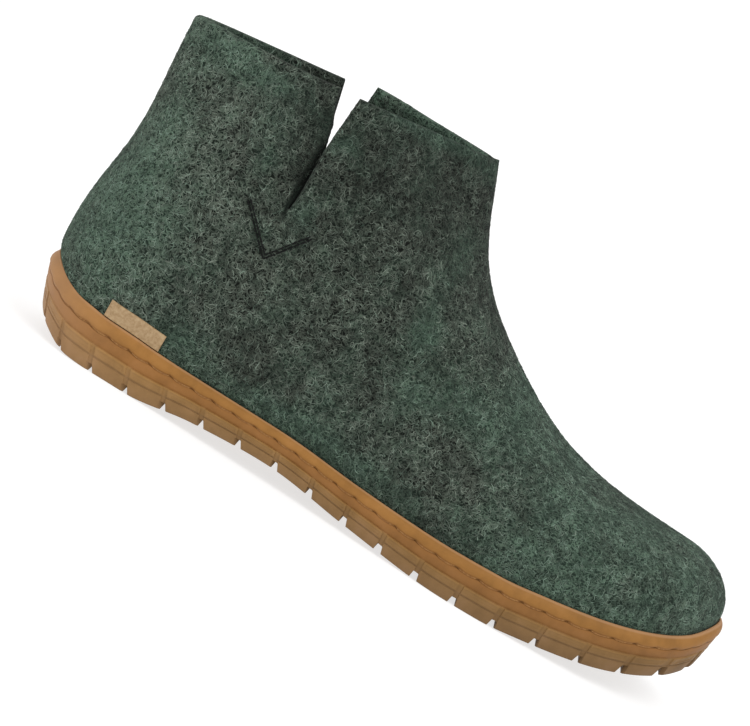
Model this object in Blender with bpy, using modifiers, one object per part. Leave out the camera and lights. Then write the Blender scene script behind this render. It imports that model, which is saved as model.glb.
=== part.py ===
"""Ankle-high felt boot on a rubber cup sole, made for the right foot. Sizes are in metres.

+X points to the toe, +Y to the inner side of the foot and +Z up. The origin lies on the floor, under the
middle of the boot's box. A station is a place along the foot, from 0 at the heel to 1 at the toe.
"""
import bmesh
import bpy
import numpy as np

MM = 0.001

# Sole seen from above
SOLE_LENGTH = 288.4 * MM
HEEL_WIDTH = 68 * MM
WAIST_WIDTH = 74 * MM
BALL_WIDTH = 103 * MM
TOE_WIDTH = 97 * MM
HEEL_ROUND = 34 * MM
TOE_ROUND = 52 * MM
WAIST_SHIFT = 3.5 * MM
TOE_SHIFT = 7 * MM

# Sole seen from the side
HEEL_SPRING = 9 * MM
ARCH_HEIGHT = 6.2 * MM
TOE_SPRING = 20.2 * MM
HEEL_SIDE = 20.5 * MM
WAIST_SIDE = 13.5 * MM
BALL_SIDE = 18.2 * MM
TOE_SIDE = 18.6 * MM
HEEL_FLOOR = 10.5 * MM
WAIST_FLOOR = 7.5 * MM
BALL_FLOOR = 9 * MM
RAND_THICKNESS = 2.5 * MM
HEEL_UNDERCUT = 6 * MM
SIDE_UNDERCUT = 2 * MM
TOE_UNDERCUT = 2.4 * MM
BLOCK_STEP = 0.8 * MM
LINE_DEPTH = 0.5 * MM

# Lugs and their grooves
GROOVE_START = 4.5 * MM
HEEL_PITCH = 15.1 * MM
TOE_PITCH = 18.6 * MM
SLOT_WIDTH = 2 * MM
NOTCH_WIDTH = 3.4 * MM
NOTCH_TOP_WIDTH = 2.4 * MM
NOTCH_HEIGHT = 2.8 * MM
NOTCH_REACH = 20 * MM

# Felt shell
FELT_WALL = 5 * MM
HEEL_BULGE = 3.6 * MM
SIDE_BULGE = 2.6 * MM
BULGE_RISE = 11 * MM
TOE_HEIGHT = 58.2 * MM
TOE_BOX = 25 * MM
COLLAR_BACK_HEIGHT = 131.2 * MM
COLLAR_FRONT_HEIGHT = 143.7 * MM
COLLAR_LENGTH = 124.6 * MM
COUNTER_WIDTH = 71 * MM
ANKLE_WIDTH = 69 * MM
COLLAR_WIDTH = 80 * MM
COLLAR_ROUND = 44 * MM
FOLD_ROUND = 6 * MM
BACK_FLARE = 0.34
FRONT_FLARE = 0.60
FLAP_STEP = 2.5 * MM
FLAP_STEP_RUN = 10 * MM
FOLD_LOW = 68 * MM
FOLD_HIGH = 128 * MM
FOLD_BLEND = 8
INSTEP_ROUND = 62 * MM
RIDGE_SHIFT = 5 * MM
RIDGE_RISE = 50 * MM
LEG_LOW = 6 * MM
LEG_HIGH = 58 * MM
LEG_BACK = 0.40
LEG_FRONT = 0.66
VAULT_START = 0.22
VAMP_END = 12 * MM

# Slit in each side of the collar
SLIT_FROM_BACK = 67.3 * MM
SLIT_DEPTH = 49 * MM
SLIT_CUT = 0.9 * MM
SLIT_LEAN = 2.2 * MM
OUTER_SLIT_OPENING = 7.8 * MM
OUTER_SLIT_MOUTH = 23 * MM
INNER_SLIT_OPENING = 12 * MM
INNER_SLIT_MOUTH = 38 * MM
OPENING_BEHIND = 0.77

# Insole and label
INSOLE_THICKNESS = 4 * MM
INSOLE_EDGE = 1 * MM
LABEL_LENGTH = 24 * MM
LABEL_HEIGHT = 6.8 * MM
LABEL_THICKNESS = 0.9 * MM
LABEL_FROM_HEEL = 30.1 * MM
LABEL_CLEARANCE = 0.4 * MM

FIT_GAP = 0.3 * MM

# Mesh
SOLE_STATIONS = 44
RIB_COUNT = 36
UPPER_ROWS = 13
ROW_CROWDING = 0.9
RIB_CROWDING = 1.4
CROWDING_START = 0.25
BACK_FADE = 6
INSOLE_STATIONS = 28
LABEL_COLUMNS = 8
LABEL_ROWS = 3
NOTCH_SECTIONS = 4
CURVE_POINTS = 400
OVERCUT = 4 * MM
WELD = 0.001 * MM

HEEL_X = -SOLE_LENGTH / 2
TOE_X = SOLE_LENGTH / 2
FELT_INSET = RAND_THICKNESS + FIT_GAP
OUTER_SIDE = -1
INNER_SIDE = 1

# Columns: station, width, shift of the middle toward the inner side, shift of the instep ridge
PLAN = (
    (0.00, HEEL_WIDTH, 0.00, 0.00),
    (0.14, HEEL_WIDTH, 0.00, 0.00),
    (0.40, WAIST_WIDTH, -WAIST_SHIFT, 0.00),
    (0.56, 0.45 * WAIST_WIDTH + 0.55 * BALL_WIDTH, -0.6 * WAIST_SHIFT, 0.45 * RIDGE_SHIFT),
    (0.69, BALL_WIDTH, 0.15 * TOE_SHIFT, 0.80 * RIDGE_SHIFT),
    (0.84, 0.2 * BALL_WIDTH + 0.8 * TOE_WIDTH, 0.70 * TOE_SHIFT, 0.30 * RIDGE_SHIFT + 0.60 * TOE_SHIFT),
    (1.00, TOE_WIDTH, TOE_SHIFT, TOE_SHIFT),
)

# Columns: station, rise of the underside, height of the side, thickness under the cup floor
SOLE_SIDE = (
    (0.00, HEEL_SPRING, 0.83 * HEEL_SIDE, 0.60 * HEEL_FLOOR),
    (0.03, 0.46 * HEEL_SPRING, 0.95 * HEEL_SIDE, 0.70 * HEEL_FLOOR),
    (0.07, 0.04 * HEEL_SPRING, 1.03 * HEEL_SIDE, 0.94 * HEEL_FLOOR),
    (0.11, 0.00, HEEL_SIDE, HEEL_FLOOR),
    (0.16, 0.00, 0.97 * HEEL_SIDE, HEEL_FLOOR),
    (0.26, 0.67 * ARCH_HEIGHT, 0.5 * HEEL_SIDE + 0.37 * WAIST_SIDE, 0.3 * HEEL_FLOOR + 0.7 * WAIST_FLOOR),
    (0.37, ARCH_HEIGHT, WAIST_SIDE, WAIST_FLOOR),
    (0.50, 0.46 * ARCH_HEIGHT, 0.7 * WAIST_SIDE + 0.31 * BALL_SIDE, WAIST_FLOOR),
    (0.65, 0.00, 0.97 * BALL_SIDE, BALL_FLOOR),
    (0.71, 0.00, BALL_SIDE, BALL_FLOOR),
    (0.78, 0.08 * TOE_SPRING, 1.02 * BALL_SIDE, BALL_FLOOR),
    (0.86, 0.25 * TOE_SPRING, TOE_SIDE, BALL_FLOOR),
    (0.92, 0.46 * TOE_SPRING, 0.98 * TOE_SIDE, BALL_FLOOR),
    (0.965, 0.70 * TOE_SPRING, 0.96 * TOE_SIDE, 0.97 * BALL_FLOOR),
    (1.00, TOE_SPRING, 0.97 * TOE_SIDE, 0.95 * BALL_FLOOR),
)

# Columns: share of the side's height, share of the undercut, inward step
SIDE_LEVELS = (
    (0.000, 1.00, 0.0),
    (0.265, 0.60, 0.0),
    (0.275, 0.59, LINE_DEPTH),
    (0.300, 0.56, LINE_DEPTH),
    (0.310, 0.55, 0.0),
    (0.465, 0.32, 0.0),
    (0.485, 0.30, BLOCK_STEP),
    (0.705, 0.10, BLOCK_STEP),
    (0.715, 0.09, BLOCK_STEP + LINE_DEPTH),
    (0.740, 0.08, BLOCK_STEP + LINE_DEPTH),
    (0.755, 0.07, 0.4 * BLOCK_STEP),
    (0.870, 0.00, 0.0),
    (0.960, 0.00, 0.0),
    (1.000, 0.00, 0.35 * RAND_THICKNESS),
)
BLOCK_TOP = 0.475
CUP_UNDERCUT = 0.5

# Columns: share of the back's height, distance behind the foot of the back line
BACK_LINE = (
    (0.00, 0.00),
    (0.03, 0.55 * HEEL_BULGE),
    (0.08, 0.88 * HEEL_BULGE),
    (0.17, HEEL_BULGE),
    (0.27, 0.83 * HEEL_BULGE),
    (0.40, 0.36 * HEEL_BULGE),
    (0.51, 0.06 * HEEL_BULGE),
    (0.58, 0.04 * HEEL_BULGE),
    (0.70, 0.25 * HEEL_BULGE),
    (0.80, 0.53 * HEEL_BULGE),
    (0.90, 0.76 * HEEL_BULGE),
    (1.00, 0.92 * HEEL_BULGE),
)

# Columns: share of the way from toe top to collar front, share of the climb between them
VAMP_LINE = (
    (0.00, 0.000),
    (0.12, 0.006),
    (0.26, 0.026),
    (0.40, 0.074),
    (0.50, 0.136),
    (0.60, 0.223),
    (0.70, 0.327),
    (0.79, 0.436),
    (0.865, 0.564),
    (0.915, 0.692),
    (0.955, 0.831),
    (1.00, 1.000),
)

# Columns: share of the collar's length from its back, share of the climb of its edge
COLLAR_LINE = (
    (0.00, 0.00),
    (0.45, 0.46),
    (0.57, 0.68),
    (1.00, 1.00),
)

# Columns: share of the collar front's height, width of the leg, depth of its round front
LEG_SECTIONS = (
    (0.20, COUNTER_WIDTH, 1.5 * INSTEP_ROUND),
    (0.42, 0.5 * COUNTER_WIDTH + 0.5 * ANKLE_WIDTH, 1.2 * INSTEP_ROUND),
    (0.60, ANKLE_WIDTH, INSTEP_ROUND),
    (0.78, 0.6 * ANKLE_WIDTH + 0.4 * COLLAR_WIDTH, 0.4 * INSTEP_ROUND + 0.6 * COLLAR_ROUND),
    (1.00, COLLAR_WIDTH, COLLAR_ROUND),
)

# Columns: station, share of the side's bulge, power of the vault over the foot
VAULT = (
    (0.00, 1.0, 2.0),
    (0.45, 1.0, 1.5),
    (0.60, 0.8, 1.6),
    (0.75, 0.5, 2.0),
    (1.00, 0.1, 2.4),
)


def table_value(rows, column, place):
    """A column's value at a place in the first column, on a smooth curve that never overshoots its rows."""
    knots = np.array([row[0] for row in rows])
    values = np.array([row[column] for row in rows])
    steps = np.diff(knots)
    rates = np.diff(values) / steps
    product = rates[:-1] * rates[1:]
    total = np.where(product > 0, rates[:-1] + rates[1:], 1.0)
    slopes = np.concatenate(([rates[0]], np.where(product > 0, 2 * product / total, 0.0), [rates[-1]]))
    place = np.clip(place, knots[0], knots[-1])
    i = np.clip(np.searchsorted(knots, place, side="right") - 1, 0, len(steps) - 1)
    t = (place - knots[i]) / steps[i]
    start = values[i] * (1 + 2 * t) * (1 - t) ** 2 + slopes[i] * steps[i] * t * (1 - t) ** 2
    end = values[i + 1] * t * t * (3 - 2 * t) - slopes[i + 1] * steps[i] * t * t * (1 - t)
    return start + end


def ease(share):
    """A smooth step from 0 to 1."""
    share = np.clip(share, 0.0, 1.0)
    return share * share * (3 - 2 * share)


def swell(share):
    """A rise from 0 to 1 that starts steeply and levels out."""
    return 1 - (1 - np.clip(share, 0.0, 1.0)) ** 2


def round_end(share):
    """A quarter circle: 0 at the end of a form, 1 where the rounding is over."""
    return np.sqrt(1 - (1 - np.clip(share, 0.0, 1.0)) ** 2)


def crowd_ends(share):
    """Shares from 0 to 1, moved closer together at both ends."""
    return (1 - np.cos(np.pi * share)) / 2


def even_shares(count):
    return np.arange(count + 1) / count


def line_length(x, y):
    """Length from the first point of a line to each of its points."""
    return np.concatenate(([0.0], np.cumsum(np.hypot(np.diff(x), np.diff(y)))))


# Lines of the sole

def station(x):
    return (x - HEEL_X) / SOLE_LENGTH


def outline(share, side, heel_inset, side_inset, toe_inset):
    """Points of the sole's outline seen from above, moved inward by its insets."""
    x = HEEL_X + heel_inset + share * (SOLE_LENGTH - heel_inset - toe_inset)
    width = table_value(PLAN, 1, station(x)) / 2 - side_inset
    width = width * round_end((x - HEEL_X - heel_inset) / (HEEL_ROUND - heel_inset))
    width = width * round_end((TOE_X - toe_inset - x) / (TOE_ROUND - toe_inset))
    return x, table_value(PLAN, 2, station(x)) + side * width


def underside(share):
    return table_value(SOLE_SIDE, 1, share)


def lip(share):
    return underside(share) + table_value(SOLE_SIDE, 2, share)


def tread_share(x):
    """Share along the underside, which is shorter than the rand above it."""
    length = SOLE_LENGTH - HEEL_UNDERCUT - TOE_UNDERCUT
    return np.clip((x - HEEL_X - HEEL_UNDERCUT) / length, 0.0, 1.0)


def cup_floor(x):
    return underside(tread_share(x)) + table_value(SOLE_SIDE, 3, tread_share(x))


def undercut_insets(share, step):
    """Insets at heel, sides and toe for a share of the undercut and a further step inward."""
    return (share * HEEL_UNDERCUT + step, share * SIDE_UNDERCUT + step, share * TOE_UNDERCUT + step)


# Meshes

def closed_ring(x, outer, inner, z):
    """A ring from the heel along the outer side to the toe and back along the inner side."""
    forward = np.stack((x, outer, z), axis=1)
    backward = np.stack((x, inner, z), axis=1)[-2:0:-1]
    return np.concatenate((forward, backward))


def side_ring(insets, level, count):
    """A ring around the sole at a share of its side's height."""
    share = crowd_ends(even_shares(count))
    x, outer = outline(share, OUTER_SIDE, *insets)
    inner = outline(share, INNER_SIDE, *insets)[1]
    return closed_ring(x, outer, inner, underside(share) + level * (lip(share) - underside(share)))


def floor_ring(inset, lift, count):
    """A ring on the cup floor, or a lift above it."""
    share = crowd_ends(even_shares(count))
    insets = undercut_insets(CUP_UNDERCUT, inset)
    x, outer = outline(share, OUTER_SIDE, *insets)
    inner = outline(share, INNER_SIDE, *insets)[1]
    return closed_ring(x, outer, inner, cup_floor(x) + lift)


def loft_faces(ring_count, size):
    """Side faces between rings of so many points, from the first ring to the last."""
    faces = []
    for level in range(ring_count - 1):
        for i in range(size):
            a = level * size + i
            b = level * size + (i + 1) % size
            faces.append((a, b, b + size, a + size))
    return faces


def cap_faces(first, count, upward):
    """Strips across a ring that starts at the given vertex, from its outer to its inner side."""
    size = 2 * count
    faces = []
    for i in range(count):
        loop = [first + i, first + i + 1, first + (size - i - 1) % size, first + (size - i) % size]
        loop = list(dict.fromkeys(loop))
        faces.append(loop if upward else loop[::-1])
    return faces


def stacked_rings(rings, count):
    """A closed body of rings, with strips across the first and the last."""
    size = 2 * count
    faces = loft_faces(len(rings), size)
    faces += cap_faces(0, count, upward=False)
    faces += cap_faces((len(rings) - 1) * size, count, upward=True)
    return np.concatenate(rings), faces


def prism_faces(section_count, size):
    """A closed prism through sections of so many points each."""
    last = size * (section_count - 1)
    ends = [tuple(range(size))[::-1], tuple(range(last, last + size))]
    return ends + loft_faces(section_count, size)


def new_object(name, points, faces, material, collection):
    mesh = bpy.data.meshes.new(name)
    mesh.from_pydata([tuple(p) for p in points], [], faces)
    mesh.update()
    obj = bpy.data.objects.new(name, mesh)
    collection.objects.link(obj)
    if material:
        mesh.materials.append(material)
    return obj


def new_cutter(name, points, faces, collection):
    """A closed body that only cuts, with its faces turned outward."""
    cutter = new_object(name, points, faces, None, collection)
    shape = bmesh.new()
    shape.from_mesh(cutter.data)
    bmesh.ops.recalc_face_normals(shape, faces=shape.faces)
    shape.to_mesh(cutter.data)
    shape.free()
    cutter.hide_render = True
    cutter.display_type = "WIRE"
    return cutter


def subtract(obj, cutter, solver="EXACT"):
    cut = obj.modifiers.new("cut " + cutter.name, "BOOLEAN")
    cut.operation = "DIFFERENCE"
    cut.solver = solver
    cut.object = cutter


def new_material(name, color, roughness):
    material = bpy.data.materials.new(name)
    material.use_nodes = True
    shader = material.node_tree.nodes["Principled BSDF"]
    shader.inputs["Base Color"].default_value = (*color, 1.0)
    shader.inputs["Roughness"].default_value = roughness
    shader.inputs["Metallic"].default_value = 0.0
    material.diffuse_color = (*color, 1.0)
    return material


def round_shading(obj, degrees):
    obj.data.shade_smooth()
    obj.data.set_sharp_from_angle(angle=np.radians(degrees))


# Side view of the felt shell

def back_x(z):
    """The back line's x at a height."""
    foot = lip(0.0)
    share = (z - foot) / (COLLAR_BACK_HEIGHT - foot)
    return HEEL_X + FELT_INSET - table_value(BACK_LINE, 1, share)


def collar_back_x():
    return back_x(COLLAR_BACK_HEIGHT)


def collar_height(x):
    share = (x - collar_back_x()) / COLLAR_LENGTH
    climb = COLLAR_FRONT_HEIGHT - COLLAR_BACK_HEIGHT
    return COLLAR_BACK_HEIGHT + climb * table_value(COLLAR_LINE, 1, share)


def vamp_curve():
    """The line from toe top to collar front, as x and z."""
    start = np.array((TOE_X - FELT_INSET - TOE_BOX, TOE_HEIGHT))
    end = np.array((collar_back_x() + COLLAR_LENGTH, COLLAR_FRONT_HEIGHT))
    place = even_shares(CURVE_POINTS)
    shares = np.stack((place, table_value(VAMP_LINE, 1, place)), axis=1)
    return start + shares * (end - start)


def nose_height(x):
    """Height of the quarter ellipse from the rand at the toe up to the toe top."""
    tip = TOE_X - FELT_INSET
    reach = np.clip((x - tip + TOE_BOX) / TOE_BOX, 0.0, 1.0)
    return lip(1.0) + (TOE_HEIGHT - lip(1.0)) * np.sqrt(1 - reach ** 2)


def ridge_height(x):
    """Height of the vamp and nose line over x. Behind the collar it runs on at the front's slope."""
    curve = vamp_curve()
    last = curve[-1]
    before = curve[np.searchsorted(curve[:, 1], last[1] - VAMP_END)]
    slope = (last[1] - before[1]) / (last[0] - before[0])
    on_vamp = np.interp(x, curve[::-1, 0], curve[::-1, 1])
    behind = last[1] + slope * (x - last[0])
    height = np.where(x < last[0], behind, on_vamp)
    return np.where(x > curve[0, 0], nose_height(x), height)


def front_x(z):
    """The x of the vamp line at a height, for the leg."""
    curve = vamp_curve()
    return np.interp(z, curve[:, 1], curve[:, 0])


def top_height(x):
    """Height of the felt's upper border over x: the collar, then the vamp and nose."""
    return np.where(x < collar_back_x() + COLLAR_LENGTH, collar_height(x), ridge_height(x))


# Width of the felt shell

def felt_lip(x):
    """Height of the rand's lip beside the felt at x."""
    return lip((x - HEEL_X - FELT_INSET) / (SOLE_LENGTH - 2 * FELT_INSET))


def foot_half_width(x, z):
    """Half width where the felt wraps the foot: bulged sides under a vault that closes at the ridge."""
    rise = z - felt_lip(x)
    bulge = SIDE_BULGE * table_value(VAULT, 1, station(x)) * swell(rise / BULGE_RISE)
    side = table_value(PLAN, 1, station(x)) / 2 - FELT_INSET + bulge
    side = side * round_end((TOE_X - FELT_INSET - x) / (TOE_ROUND - FELT_INSET))
    height = np.maximum(ridge_height(x) - felt_lip(x), WELD)
    share = np.clip((rise / height - VAULT_START) / (1 - VAULT_START), 0.0, 1.0)
    return side * np.sqrt(1 - share ** table_value(VAULT, 2, station(x)))


def leg_half_width(x, z):
    """Half width of the upright leg: an oval from back line to vamp line."""
    share = z / COLLAR_FRONT_HEIGHT
    front = round_end((front_x(z) - x) / table_value(LEG_SECTIONS, 2, share))
    return table_value(LEG_SECTIONS, 1, share) / 2 * front


def fold_half_width(x, z):
    """Half width near the collar: a wedge at back and front, with the flap before the slit a step out."""
    to_back = np.maximum(x - back_x(z), WELD)
    to_front = np.maximum(front_x(z) - x, WELD)
    past_slit = x - collar_back_x() - SLIT_FROM_BACK
    back = np.sqrt((BACK_FLARE * to_back) ** 2 + 2 * FOLD_ROUND * to_back)
    back = back + FLAP_STEP * ease(past_slit / FLAP_STEP_RUN + 1 / 2)
    front = np.sqrt((FRONT_FLARE * to_front) ** 2 + 2 * FOLD_ROUND * to_front)
    total = back ** -FOLD_BLEND + front ** -FOLD_BLEND + (COLLAR_WIDTH / 2) ** -FOLD_BLEND
    return total ** (-1 / FOLD_BLEND)


def felt_side(x, z, side):
    """The felt's outer y at a point of its side view. It turns from foot to leg upward and backward."""
    rise = z - felt_lip(x)
    upward = ease((rise - LEG_LOW) / (LEG_HIGH - LEG_LOW))
    leg = upward * ease((LEG_FRONT - station(x)) / (LEG_FRONT - LEG_BACK))
    half = foot_half_width(x, z) * (1 - leg) + leg_half_width(x, z) * leg
    back = HEEL_ROUND - FELT_INSET + (COLLAR_ROUND - HEEL_ROUND) * ease(rise / COLLAR_BACK_HEIGHT)
    half = half * round_end((x - back_x(z)) / back)
    fold = upward * ease((z - FOLD_LOW) / (FOLD_HIGH - FOLD_LOW))
    half = half * (1 - fold) + fold_half_width(x, z) * fold
    middle = table_value(PLAN, 2, station(x))
    ridge = table_value(PLAN, 3, station(x))
    middle = middle + (ridge - middle) * ease(rise / RIDGE_RISE)
    return middle + side * half


# Surface of the felt shell

def top_places(ribs):
    """The x where each rib ends on the upper border: half of them on the collar, the rest past it."""
    half = ribs // 2
    collar = collar_back_x() + COLLAR_LENGTH * crowd_ends(even_shares(half))
    x = np.linspace(collar[-1], TOE_X - FELT_INSET, CURVE_POINTS)
    length = line_length(x, ridge_height(x))
    along = 1 - (1 - even_shares(ribs - half)[1:]) ** RIB_CROWDING
    return np.concatenate((collar, np.interp(along * length[-1], length, x)))


def side_patch(ribs, rows):
    """Side view of the felt from lip to upper border. Ribs lean back, and rows crowd toward the vamp."""
    share = crowd_ends(even_shares(ribs))
    crowding = 1 + ROW_CROWDING * ease(share / CROWDING_START - 1)
    rise = 1 - (1 - even_shares(rows)[None]) ** crowding[:, None]
    low = HEEL_X + FELT_INSET + share * (SOLE_LENGTH - 2 * FELT_INSET)
    x = low[:, None] * (1 - rise) + top_places(ribs)[:, None] * rise
    back_z = lip(0.0) + rise * (COLLAR_BACK_HEIGHT - lip(0.0))
    straight = x[0, 0] * (1 - rise) + collar_back_x() * rise
    x = x + (1 - share[:, None]) ** BACK_FADE * (back_x(back_z) - straight)
    z = felt_lip(x) + rise * (top_height(x) - felt_lip(x))
    return x, z


def felt_surface(ribs, rows):
    """Both sides of the felt's outer surface as points and faces, open at the collar and underneath."""
    x, z = side_patch(ribs, rows)
    share = crowd_ends(even_shares(ribs))
    tuck_insets = undercut_insets(CUP_UNDERCUT, FELT_INSET)
    points, faces = [], []
    for side in (OUTER_SIDE, INNER_SIDE):
        y = felt_side(x, z, side)
        middle = felt_side(x, z, 0)
        y[0], y[-1] = middle[0], middle[-1]
        y[ribs // 2:, -1] = middle[ribs // 2:, -1]
        y[:, 0] = outline(share, side, FELT_INSET, FELT_INSET, FELT_INSET)[1]
        tuck_x, tuck_y = outline(share, side, *tuck_insets)
        tuck = np.stack((tuck_x, tuck_y, cup_floor(tuck_x) + FIT_GAP), axis=1)
        grid = np.concatenate((tuck[:, None], np.stack((x, y, z), axis=2)), axis=1)
        first = len(points)
        points.extend(grid.reshape(-1, 3))
        for i in range(ribs):
            for j in range(rows + 1):
                a = first + i * (rows + 2) + j
                loop = (a, a + rows + 2, a + rows + 3, a + 1)
                faces.append(loop if side == OUTER_SIDE else loop[::-1])
    return points, faces


def weld_middle(obj):
    """Joins the two halves of a surface along their shared middle line."""
    shape = bmesh.new()
    shape.from_mesh(obj.data)
    bmesh.ops.remove_doubles(shape, verts=shape.verts, dist=WELD)
    bmesh.ops.dissolve_degenerate(shape, edges=shape.edges, dist=WELD)
    shape.to_mesh(obj.data)
    shape.free()


# Pieces

def make_slit_cutter(name, side, opening, mouth, collection):
    """A thin straight cut that opens upward to a wedge, most of it toward the heel."""
    x = collar_back_x() + SLIT_FROM_BACK
    top = collar_height(x)
    spread = opening * (1 + OVERCUT / mouth)
    profile = (
        (x + SLIT_LEAN - SLIT_CUT / 2, top - SLIT_DEPTH),
        (x + SLIT_LEAN + SLIT_CUT / 2, top - SLIT_DEPTH),
        (x + SLIT_CUT / 2, top - mouth),
        (x + SLIT_CUT / 2 + (1 - OPENING_BEHIND) * spread, top + OVERCUT),
        (x - SLIT_CUT / 2 - OPENING_BEHIND * spread, top + OVERCUT),
        (x - SLIT_CUT / 2, top - mouth),
    )
    points = []
    for y in (side * FELT_WALL, side * COLLAR_WIDTH):
        points.extend((px, y, pz) for px, pz in profile)
    return new_cutter(name, points, prism_faces(2, len(profile)), collection)


def make_upper(material, parts, cutters):
    points, faces = felt_surface(RIB_COUNT, UPPER_ROWS)
    upper = new_object("upper", points, faces, material, parts)
    weld_middle(upper)
    round_shading(upper, 50)
    shell = upper.modifiers.new("felt wall", "SOLIDIFY")
    shell.thickness = FELT_WALL
    shell.offset = -1
    shell.use_even_offset = False
    for name, side, opening, mouth in (
        ("outer slit cutter", OUTER_SIDE, OUTER_SLIT_OPENING, OUTER_SLIT_MOUTH),
        ("inner slit cutter", INNER_SIDE, INNER_SLIT_OPENING, INNER_SLIT_MOUTH),
    ):
        subtract(upper, make_slit_cutter(name, side, opening, mouth, cutters))
    return upper


def groove_places():
    """Shares of the outline where grooves lie, at a pitch that grows evenly from heel to toe."""
    share = even_shares(CURVE_POINTS)
    x, y = outline(crowd_ends(share), OUTER_SIDE, 0.0, 0.0, 0.0)
    length = line_length(x, y)
    places = []
    place = GROOVE_START
    while place < length[-1] - TOE_PITCH / 2:
        places.append(place)
        place += HEEL_PITCH + (TOE_PITCH - HEEL_PITCH) * place / length[-1]
    return np.interp(places, length, crowd_ends(share))


def groove_frame(share, side, insets):
    """A point of an outline with its forward and its inward direction, seen from above."""
    reach = min(1 / CURVE_POINTS, share, 1 - share)
    x, y = outline(np.array((share - reach, share, share + reach)), side, *insets)
    along = np.array((x[2] - x[0], y[2] - y[0]))
    along = along / np.hypot(*along)
    return np.array((x[1], y[1])), along, side * np.array((along[1], -along[0]))


def slot_sections(share, side):
    """Upright slot between two blocks, as deep as they stand out, from below the sole to their tops."""
    sections = []
    for level, drop in ((0.0, OVERCUT), (0.0, 0.0), (BLOCK_TOP, 0.0)):
        cut = table_value(SIDE_LEVELS, 1, level)
        point, along, inward = groove_frame(share, side, undercut_insets(cut, BLOCK_STEP))
        z = underside(share) + level * table_value(SOLE_SIDE, 2, share) - drop
        half = along * SLOT_WIDTH / 2
        outside = point - inward * OVERCUT
        for spot in (outside - half, outside + half, point + half, point - half):
            sections.append((*spot, z))
    return sections, prism_faces(3, 4)


def notch_sections(share, side):
    """Notch in the lug's lower edge, which runs inward under the sole and follows its underside."""
    point, along, inward = groove_frame(share, side, undercut_insets(1.0, 0.0))
    sections = []
    for reach in np.linspace(-OVERCUT, NOTCH_REACH, NOTCH_SECTIONS):
        spot = point + inward * reach
        base = underside(tread_share(spot[0]))
        for width, z in (
            (-NOTCH_WIDTH, base - OVERCUT),
            (NOTCH_WIDTH, base - OVERCUT),
            (NOTCH_TOP_WIDTH, base + NOTCH_HEIGHT),
            (-NOTCH_TOP_WIDTH, base + NOTCH_HEIGHT),
        ):
            sections.append((*(spot + along * width / 2), z))
    return sections, prism_faces(NOTCH_SECTIONS, 4)


def make_groove_cutter(name, sections_of, collection):
    """All slots or all notches around the sole, as separate closed prisms in one cutter."""
    points, faces = [], []
    for side in (OUTER_SIDE, INNER_SIDE):
        for share in groove_places():
            prism_points, prism = sections_of(share, side)
            first = len(points)
            points.extend(prism_points)
            faces.extend(tuple(first + i for i in face) for face in prism)
    return new_cutter(name, points, faces, collection)


def make_outsole(material, parts, cutters):
    """Cup sole: rings up its side and over the lip, then down the inside to the cup floor."""
    count = SOLE_STATIONS
    rings = [side_ring(undercut_insets(cut, step), level, count) for level, cut, step in SIDE_LEVELS]
    rings.append(side_ring(undercut_insets(0.0, RAND_THICKNESS), 1.0, count))
    rings.append(floor_ring(RAND_THICKNESS, 0.0, count))
    outsole = new_object("outsole", *stacked_rings(rings, count), material, parts)
    round_shading(outsole, 30)
    subtract(outsole, make_groove_cutter("slot cutter", slot_sections, cutters))
    subtract(outsole, make_groove_cutter("notch cutter", notch_sections, cutters), solver="MANIFOLD")
    return outsole


def make_insole(material, parts):
    """Felt lining of even thickness that lies on the cup floor inside the felt wall."""
    inset = FELT_INSET + FELT_WALL + FIT_GAP
    low = FIT_GAP
    high = FIT_GAP + INSOLE_THICKNESS
    rings = [
        floor_ring(inset, low, INSOLE_STATIONS),
        floor_ring(inset, high - INSOLE_EDGE, INSOLE_STATIONS),
        floor_ring(inset + INSOLE_EDGE, high, INSOLE_STATIONS),
    ]
    insole = new_object("insole", *stacked_rings(rings, INSOLE_STATIONS), material, parts)
    round_shading(insole, 50)
    return insole


def make_label(material, parts):
    """Bare tab on the outer side of the heel, laid on the felt's own surface with its foot at the lip."""
    x = HEEL_X + LABEL_FROM_HEEL + LABEL_LENGTH * even_shares(LABEL_COLUMNS)[:, None]
    z = felt_lip(x) + FIT_GAP + LABEL_HEIGHT * even_shares(LABEL_ROWS)[None]
    x = np.broadcast_to(x, z.shape)
    y = felt_side(x, z, OUTER_SIDE) - LABEL_CLEARANCE
    points = np.stack((x, y, z), axis=2).reshape(-1, 3)
    faces = []
    for i in range(LABEL_COLUMNS):
        for j in range(LABEL_ROWS):
            a = i * (LABEL_ROWS + 1) + j
            faces.append((a, a + LABEL_ROWS + 1, a + LABEL_ROWS + 2, a + 1))
    label = new_object("label_tab", points, faces, material, parts)
    round_shading(label, 40)
    sheet = label.modifiers.new("leather", "SOLIDIFY")
    sheet.thickness = LABEL_THICKNESS
    sheet.offset = 1
    return label


def box_middle():
    """Middle of the boot's box seen from above: the rubber is widest, and the felt reaches furthest back."""
    share = even_shares(CURVE_POINTS)
    outer = outline(share, OUTER_SIDE, 0.0, 0.0, 0.0)[1].min()
    inner = outline(share, INNER_SIDE, 0.0, 0.0, 0.0)[1].max()
    back = back_x(np.linspace(lip(0.0), COLLAR_BACK_HEIGHT, CURVE_POINTS)).min()
    return (min(back, HEEL_X) + TOE_X) / 2, (outer + inner) / 2


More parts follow.
